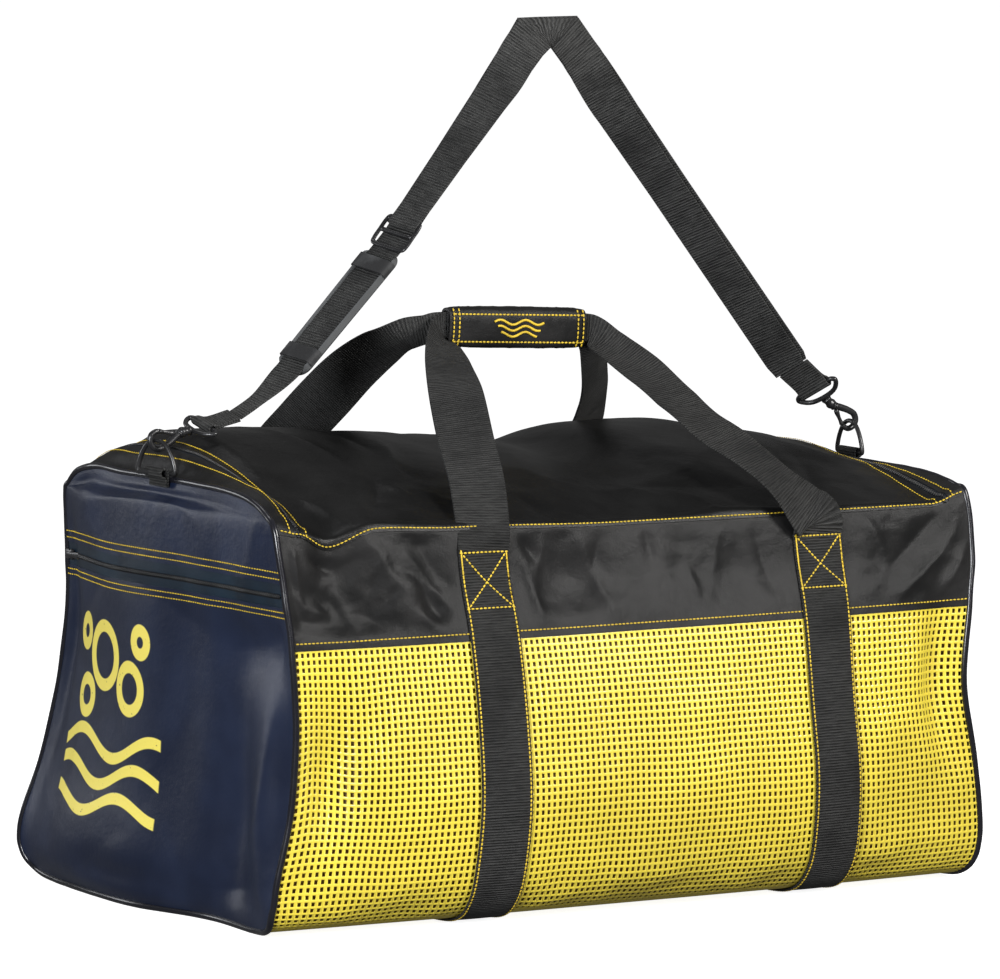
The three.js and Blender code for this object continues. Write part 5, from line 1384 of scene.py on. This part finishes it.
class BAG_OT_hardware(BagOperator, bpy.types.Operator):
    """Make the rings, their tabs and the snap hooks"""

    bl_idname = "bag.hardware"
    bl_label = "Rings and hooks"

    def execute(self, context):
        for name, sign in (("left", -1), ("right", 1)):
            self.make_ring(name, sign)
            self.make_hook(name, sign)
        return {"FINISHED"}

    def make_ring(self, name, sign):
        half = RING_WIDTH / 2
        shape = [(-1, 0), (-0.8, 0), (-0.4, 0), (0, 0), (0.4, 0), (0.8, 0), (1, 0), (0.9, 0.4), (0.52, 0.86), (0.18, 1),
                 (-0.18, 1), (-0.52, 0.86), (-0.9, 0.4)]
        place = ring_place(sign)
        wide = np.array([-math.sin(RING_TURN[sign]), math.cos(RING_TURN[sign]), 0])
        points = [place + y * half * wide + (0, 0, z * RING_HEIGHT) for y, z in shape]
        rings = wire_rings(rounded_path(points, 84, True), RING_WIRE, (wide[1], -wide[0], 0), 12, True)
        finish_piece(tube(f"ring_{name}", rings, "hard_plastic", True), f"d_ring_{name}")
        inner = -sign * TAB_OUTER
        turns = span(-math.pi / 2, math.pi, 15) if sign > 0 else span(-math.pi / 2, -2 * math.pi, 15)
        radius = TAB_OUTER - WEBBING / 2
        loop = [(radius * math.cos(a), radius * math.sin(a)) for a in turns]
        path = [(inner + sign * WEBBING * 1.6, -TAB_LENGTH), (inner + sign * WEBBING * 1.6, -6.5), *loop]
        path += [(inner + sign * WEBBING / 2, -6), (inner + sign * WEBBING / 2, -TAB_LENGTH)]
        centres = rounded_path([place + (x, 0, z) for x, z in path], 60)
        across = np.broadcast_to((0.0, 1.0, 0.0), centres.shape)
        normal = unit(np.cross(across, tangents(centres)))
        finish_piece(webbing(f"tab_{name}", centres, across, normal, TAB_WIDTH, depth=1.7), f"ring_tab_{name}")

    def make_hook(self, name, sign):
        slot, _ = hook_place(sign)
        axes, rolled = hook_axes(sign, False), hook_axes(sign, True)
        w, l = FRAME_WIDTH / 2, FRAME_LENGTH
        shape = [(0, -0.86), (0, -0.6), (0, 0), (0, 0.6), (0, 0.86), (3 / l, 1), (0.77, 0.75), (1, 0.4), (1, -0.4),
                 (0.77, -0.75), (3 / l, -1)]
        points = [slot + x * l * rolled[0] + z * w * rolled[2] for x, z in shape]
        rings = wire_rings(rounded_path(points, 90, True), FRAME_WIRE, rolled[1], 10, True)
        finish_piece(tube(f"hook_eye_{name}", rings, "hard_plastic", True), f"hook_frame_{name}")
        wire = [(*(slot + x * HOOK_REACH * axes[0] + z * HOOK_REACH * axes[2]), r) for x, z, r in HOOK_WIRE]
        path = rounded_path(wire, 80)
        radius = path[:, 3].copy()
        radius[:18] += 0.5 * np.cos(np.arange(18) * 1.05)
        rings = wire_rings(path[:, :3], radius, axes[1], 14)
        finish_piece(tube(f"hook_curl_{name}", rings, "hard_plastic", False), f"hook_body_{name}")
        gate = [slot + x * HOOK_REACH * axes[0] + z * HOOK_REACH * axes[2] for x, z in HOOK_GATE]
        rings = wire_rings(rounded_path(gate, 12), [2.2, 2.1, 1.9, 1.7, 1.7, 1.7, 1.8, 2.0, 2.2, 2.4, 2.4, 2.3, 1.6], axes[1], 12)
        finish_piece(tube(f"hook_latch_{name}", rings, "hard_plastic", False), f"hook_gate_{name}")
        reach, bend = LOOP_LENGTH, FRAME_WIRE + 0.7 + WEBBING / 2
        turns = span(-math.pi * 0.62, math.pi * 0.62, 17)
        path = [(-reach, -1.15), (-bend * 1.7, -1.15), *[(bend * math.cos(a), bend * math.sin(a)) for a in turns]]
        path += [(-bend * 1.7, 1.15), (-reach, 1.15)]
        centres = rounded_path([slot + x * rolled[0] + y * rolled[1] for x, y in path], 70)
        across = np.broadcast_to(rolled[2], centres.shape)
        normal = unit(np.cross(across, tangents(centres)))
        widths = span(STRAP_WIDTH * (0.62 if sign < 0 else 0.9), STRAP_WIDTH - 4, 36)
        widths = np.concatenate([widths, widths[-2::-1]])
        loop = webbing(f"sewn_loop_{name}", centres, across, normal, widths, "strap_webbing", 1.8)
        finish_piece(loop, f"strap_loop_{name}")


class BAG_OT_strap(BagOperator, bpy.types.Operator):
    """Make the shoulder strap, its glide and its pad"""

    bl_idname = "bag.strap"
    bl_label = "Shoulder strap"

    def execute(self, context):
        (right, right_across), (left, left_across) = strap_end(1), strap_end(-1)
        up = leg_rows((right[0], right[2]), APEX_RIGHT, 40)[1:-2]
        start = (right, right_across, STRAP_WIDTH * 0.9)
        to_glide = leg_rows(APEX_LEFT, GLIDE, 34)[2:-1]
        parting = [float((BEHIND_GLIDE - LAYER) * smooth((k - 26) / 5)) for k in range(len(to_glide))]
        below = leg_rows(GLIDE, PAD_END, 24)
        tail, shares = [], span(0, 1, 22)[1:]
        across = below[-1][1]
        towards = left_across if left_across @ across > 0 else -left_across
        for t in shares:
            centre = mix(np.array([PAD_END[0], 0, PAD_END[1]]), left, t) - (0, 0, 3 * math.sin(math.pi * t))
            width = mix(STRAP_WIDTH, STRAP_WIDTH * 0.55, float(smooth(t * 1.5)))
            tail.append((centre, unit(mix(across, towards, float(smooth(t)))), width))
        long_rows = [start, *up, *apex_rows(0), *to_glide, *below, *tail]
        behind = [LAYER] * (len(up) + 5) + [LAYER + gap for gap in parting]
        behind += [BEHIND_GLIDE] * len(below) + [BEHIND_GLIDE * (1 - t) for t in shares]
        finish_piece(strap_piece("strap_long", long_rows, behind, [0] * len(long_rows)), "shoulder_strap")
        rows = [start, *up, *apex_rows(1.5), *to_glide]
        behind = [-LAYER] * (len(up) + 5) + [-LAYER - gap for gap in parting]
        far = np.array([abs(k - len(up) - 2.5) for k in range(len(rows))])
        shifts = RETURN_SHIFT * smooth((far - 3) / 6)
        finish_piece(strap_piece("strap_doubled", rows, behind, shifts), "strap_return")
        self.make_glide()
        self.make_pad()
        return {"FINISHED"}

    def make_glide(self):
        """A flat three-bar glide: its outer ring and its middle bar, as one bevelled plate each."""
        along = unit(np.array([APEX_LEFT[0] - GLIDE[0], 0, APEX_LEFT[1] - GLIDE[1]]))
        across = np.array([-along[2], 0, along[0]])
        centre = np.array([GLIDE[0], 0, GLIDE[1]], float)
        l, w = GLIDE_LENGTH / 2 - 2.2, GLIDE_WIDTH / 2 - 2.2
        corners = [(-1, -0.7), (-1, 0), (-1, 0.7), (-0.92, 0.94), (-0.6, 1), (0, 1), (0.6, 1), (0.92, 0.94), (1, 0.7), (1, 0),
                   (1, -0.7), (0.92, -0.94), (0.6, -1), (0, -1), (-0.6, -1), (-0.92, -0.94)]
        points = [centre + a * l * along + b * w * across for a, b in corners]
        rings = wire_rings(rounded_path(points, 96, True), GLIDE_BAR / 2, (0, 1, 0), 12, True)
        rings[..., 1] *= GLIDE_DEPTH / GLIDE_BAR
        turned = roll_about(rings, APEX_LEFT, GLIDE, (PAD_TURNS[0], PAD_TURNS[0]))
        finish_piece(tube("glide_ring", turned, "hard_plastic", True), "strap_glide")
        bar = [centre + t * w * across for t in span(-1, 1, 9)]
        rings = roll_about(wire_rings(bar, 2.2, (0, 1, 0), 12), APEX_LEFT, GLIDE, (PAD_TURNS[0], PAD_TURNS[0]))
        finish_piece(tube("glide_bar", rings, "hard_plastic", False))

    def make_pad(self):
        """The pad behind the strap, its raised edges and the two bridges over the strap."""
        run = np.array([GLIDE[0] - PAD_END[0], 0, GLIDE[1] - PAD_END[1]], float)
        far = np.linalg.norm(run)
        along = run / far
        across = np.array([-along[2], 0, along[0]])
        length = far - GLIDE_LENGTH / 2 - 2
        middle = np.array([PAD_END[0], 0, PAD_END[1]]) + along * length / 2
        base = BEHIND_GLIDE + 1.35
        rings = []
        for at in np.concatenate([span(-1, -0.86, 8), span(-0.84, 0.84, 40), span(0.86, 1, 8)]):
            tip = math.sqrt(max(0.0, 1 - max(0.0, (abs(at) - 0.84) / 0.165) ** 2.4))
            w = PAD_WIDTH / 2 * (0.45 + 0.55 * tip)
            rim = 3.4 * smooth((0.97 - abs(at)) / 0.08)
            section = [(-1, 1.5), (-1, -rim), (-0.93, -rim - 0.6), (-0.87, -rim), (-0.86, 0), (-0.4, 0), (0.4, 0), (0.86, 0),
                       (0.87, -rim), (0.93, -rim - 0.6), (1, -rim), (1, 1.5), (0.86, 4.6), (0.5, 6.0), (0, 6.4), (-0.5, 6.0),
                       (-0.86, 4.6)]
            here = middle + at * length / 2 * along
            rings.append([here + a * w * across + (0, base + b * PAD_DEPTH / 7, 0) for a, b in section])
        rings = roll_about(rings, GLIDE, PAD_END, PAD_TURNS)
        piece = tube("pad_body", rings, "rubber_edge", False, soft=False)
        finish_piece(piece, "shoulder_pad")
        for name, side in (("upper", 1), ("lower", -1)):
            centre = middle + side * (length / 2 - 17.5) * along
            shape = [(-22, 2.2), (-22, -1.4), (-20.4, -3.6), (-10, -4.1), (10, -4.1), (20.4, -3.6), (22, -1.4), (22, 2.2)]
            rounded = rounded_path([centre + a * across + (0, BEHIND_GLIDE + b, 0) for a, b in shape], 40)
            rounded = roll_about(rounded, GLIDE, PAD_END, PAD_TURNS)
            width = np.broadcast_to(along, rounded.shape)
            normal = unit(np.cross(width, tangents(rounded)))
            piece = webbing(f"bridge_{name}", rounded, width, normal, 15, "rubber", 2.2)
            finish_piece(piece, f"pad_bridge_{name}")


class BAG_OT_stitches(BagOperator, bpy.types.Operator):
    """Sew the seams, the webbing and the zippers"""

    bl_idname = "bag.stitches"
    bl_label = "Stitches"

    def execute(self, context):
        us = span(0.008, 0.992, 320)
        seams = [on_body(us, TOP_SEAM + 0.07, 2.0), on_body(us, BAND_SEAM + 0.07, 0.9)]
        seams += [on_body(us, ROWS - TOP_SEAM - 0.07, 2.0), on_body(us, ROWS - BAND_SEAM - 0.07, 0.9)]
        self.sew("seam_stitches", seams, "coated_cloth")
        webs = []
        for x in STRIP_X:
            for edge in (-22.6, 22.6):
                for low, high in ((-STRIP_TOP_V, -TURN), (-TURN, TURN), (TURN, STRIP_TOP_V)):
                    webs.append(on_body(np.full(120, u_of(x + edge)), span(low, high, 120), 2.9))
            for turned in (1, -1):
                webs += self.box(x, turned)
        self.sew("webbing_stitches", webs, "webbing", 1.3)
        rows = []
        for u in (ZIP_U[0] - 0.0035, ZIP_U[1] + 0.0045):
            for place in (u, 1 - u):
                high = ZIP_BACK[1] if u < ZIP_U[1] else ZIP_BACK[0]
                rows.append(on_body(np.full(220, place), span(TOP_SEAM + 0.1, high, 220), 2.0))
        rows.append(on_body(span(ZIP_U[0], 1 - ZIP_U[0], 320), ZIP_BACK[1] + 0.08, 1.9))
        rows.append(on_body(span(ZIP_U[1], 1 - ZIP_U[1], 320), ZIP_BACK[0] - 0.08, 2.0))
        low, high = (end_share(height) for height in POCKET_ZIP)
        for t in (low - 0.005, low - 0.017, high + 0.005, high + 0.017):
            rows.append(on_end(-1, span(0.008, 0.992, 200), t, 1.6))
        self.sew("zipper_stitches", rows, "zipper")
        return {"FINISHED"}

    def box(self, x, turned):
        """The sewn box with a cross at a strip's top."""
        u0, u1 = u_of(x - 22.6), u_of(x + 22.6)
        v1 = STRIP_TOP_V - 0.03
        v0 = v1 - 2 * 47 / BAND_HEIGHT
        corners = [(u0, v0), (u1, v0), (u1, v1), (u0, v1), (u0, v0), (u1, v1), (u1, v0), (u0, v1)]
        lines = []
        for (a, b), (c, d) in zip(corners[:-1], corners[1:]):
            lines.append(on_body(span(a, c, 20), turned * span(b, d, 20), 2.95))
        return lines

    def sew(self, name, paths, slot, heavy=1.0):
        sizes = dict(Pitch=self.sizes.stitch_pitch, Bead_length=self.sizes.stitch_length * (0.9 + 0.1 * heavy))
        beads(name, paths, "stitches", slot, Bead_width=self.sizes.stitch_width * heavy, **sizes)


class BAG_OT_stage(BagOperator, bpy.types.Operator):
    """Set the floor, the lights and the camera"""

    bl_idname = "bag.stage"
    bl_label = "Stage"

    def execute(self, context):
        scene = bpy.context.scene
        world = bpy.data.worlds.new("studio")
        scene.world = world
        world.use_nodes = True
        nodes = Nodes(world.node_tree)
        light = nodes.make("ShaderNodeBackground", inputs={"Color": (1.0, 1.0, 1.0, 1.0), "Strength": 0.13})
        nodes.make("ShaderNodeOutputWorld", inputs={"Surface": light})
        paper = Finish("paper")
        paper.close((0.9, 0.9, 0.9, 1.0), 0.9, glow=0.9)
        mesh = bpy.data.meshes.new("floor")
        ground = -APEX[1] / 1000
        far = 40
        corners = [(-far, -far, ground), (far, -far, ground), (far, far, ground), (-far, far, ground)]
        mesh.from_pydata(corners, [], [(0, 1, 2, 3)])
        mesh.materials.append(paper.material)
        floor = bpy.data.objects.new("floor", mesh)
        floor.visible_glossy = False
        floor.visible_diffuse = False
        scene.collection.objects.link(floor)
        lamps = [
            ("key", (1.3, -2.6, 1.15), 1.0, 92, (1.0, 0.985, 0.96)),
            ("front", (0.2, -3.3, 0.2), 0.5, 14, (1.0, 0.98, 0.97)),
            ("side", (-2.5, -1.7, 0.1), 0.8, 74, (0.95, 0.97, 1.0)),
            ("sheen", (-1.9, 2.5, 0.1), 0.9, 12, (0.95, 0.97, 1.0)),
            ("top", (-0.6, 0.9, 1.8), 0.6, 5, (1.0, 1.0, 1.0)),
        ]
        for name, place, width, power, colour in lamps:
            data = bpy.data.lights.new(name, "AREA")
            data.shape = "SQUARE"
            data.size = width
            data.energy = power
            data.color = colour
            lamp = bpy.data.objects.new(name, data)
            lamp.location = place
            aim = Vector((-0.04, 0, -0.55)) - Vector(place)
            lamp.rotation_euler = aim.to_track_quat("-Z", "Y").to_euler()
            scene.collection.objects.link(lamp)
        data = bpy.data.cameras.new("camera")
        data.lens = 288
        data.sensor_width = 36
        data.clip_end = 100
        camera = bpy.data.objects.new("camera", data)
        camera.location = (-3.641, -6.218, 0.304)
        camera.rotation_euler = (math.radians(90 - 5.8), 0, math.radians(-30))
        scene.collection.objects.link(camera)
        scene.camera = camera
        scene.view_settings.view_transform = "Standard"
        return {"FINISHED"}


class BAG_PT_panel(bpy.types.Panel):
    """Buttons for each group of the bag's pieces"""

    bl_label = "Bag"
    bl_idname = "BAG_PT_panel"
    bl_space_type = "VIEW_3D"
    bl_region_type = "UI"
    bl_category = "Bag"

    def draw(self, context):
        for operator in OPERATORS:
            self.layout.operator(operator.bl_idname)
        for group in (context.scene.bag_sizes, context.scene.bag_colours):
            column = self.layout.column()
            for name in group.__annotations__:
                column.prop(group, name)


OPERATORS = (
    BAG_OT_finishes, BAG_OT_net, BAG_OT_cloth, BAG_OT_piping, BAG_OT_zippers, BAG_OT_girths, BAG_OT_grip,
    BAG_OT_hardware, BAG_OT_strap, BAG_OT_stitches, BAG_OT_stage,
)
CLASSES = (BagSizes, BagColours, *OPERATORS, BAG_PT_panel)


def register():
    for part in CLASSES:
        bpy.utils.register_class(part)
    bpy.types.Scene.bag_sizes = bpy.props.PointerProperty(type=BagSizes)
    bpy.types.Scene.bag_colours = bpy.props.PointerProperty(type=BagColours)


def unregister():
    del bpy.types.Scene.bag_colours
    del bpy.types.Scene.bag_sizes
    for part in reversed(CLASSES):
        bpy.utils.unregister_class(part)


def main():
    register()
    for operator in OPERATORS:
        group, name = operator.bl_idname.split(".")
        getattr(getattr(bpy.ops, group), name)()


if __name__ == "__main__":
    main()
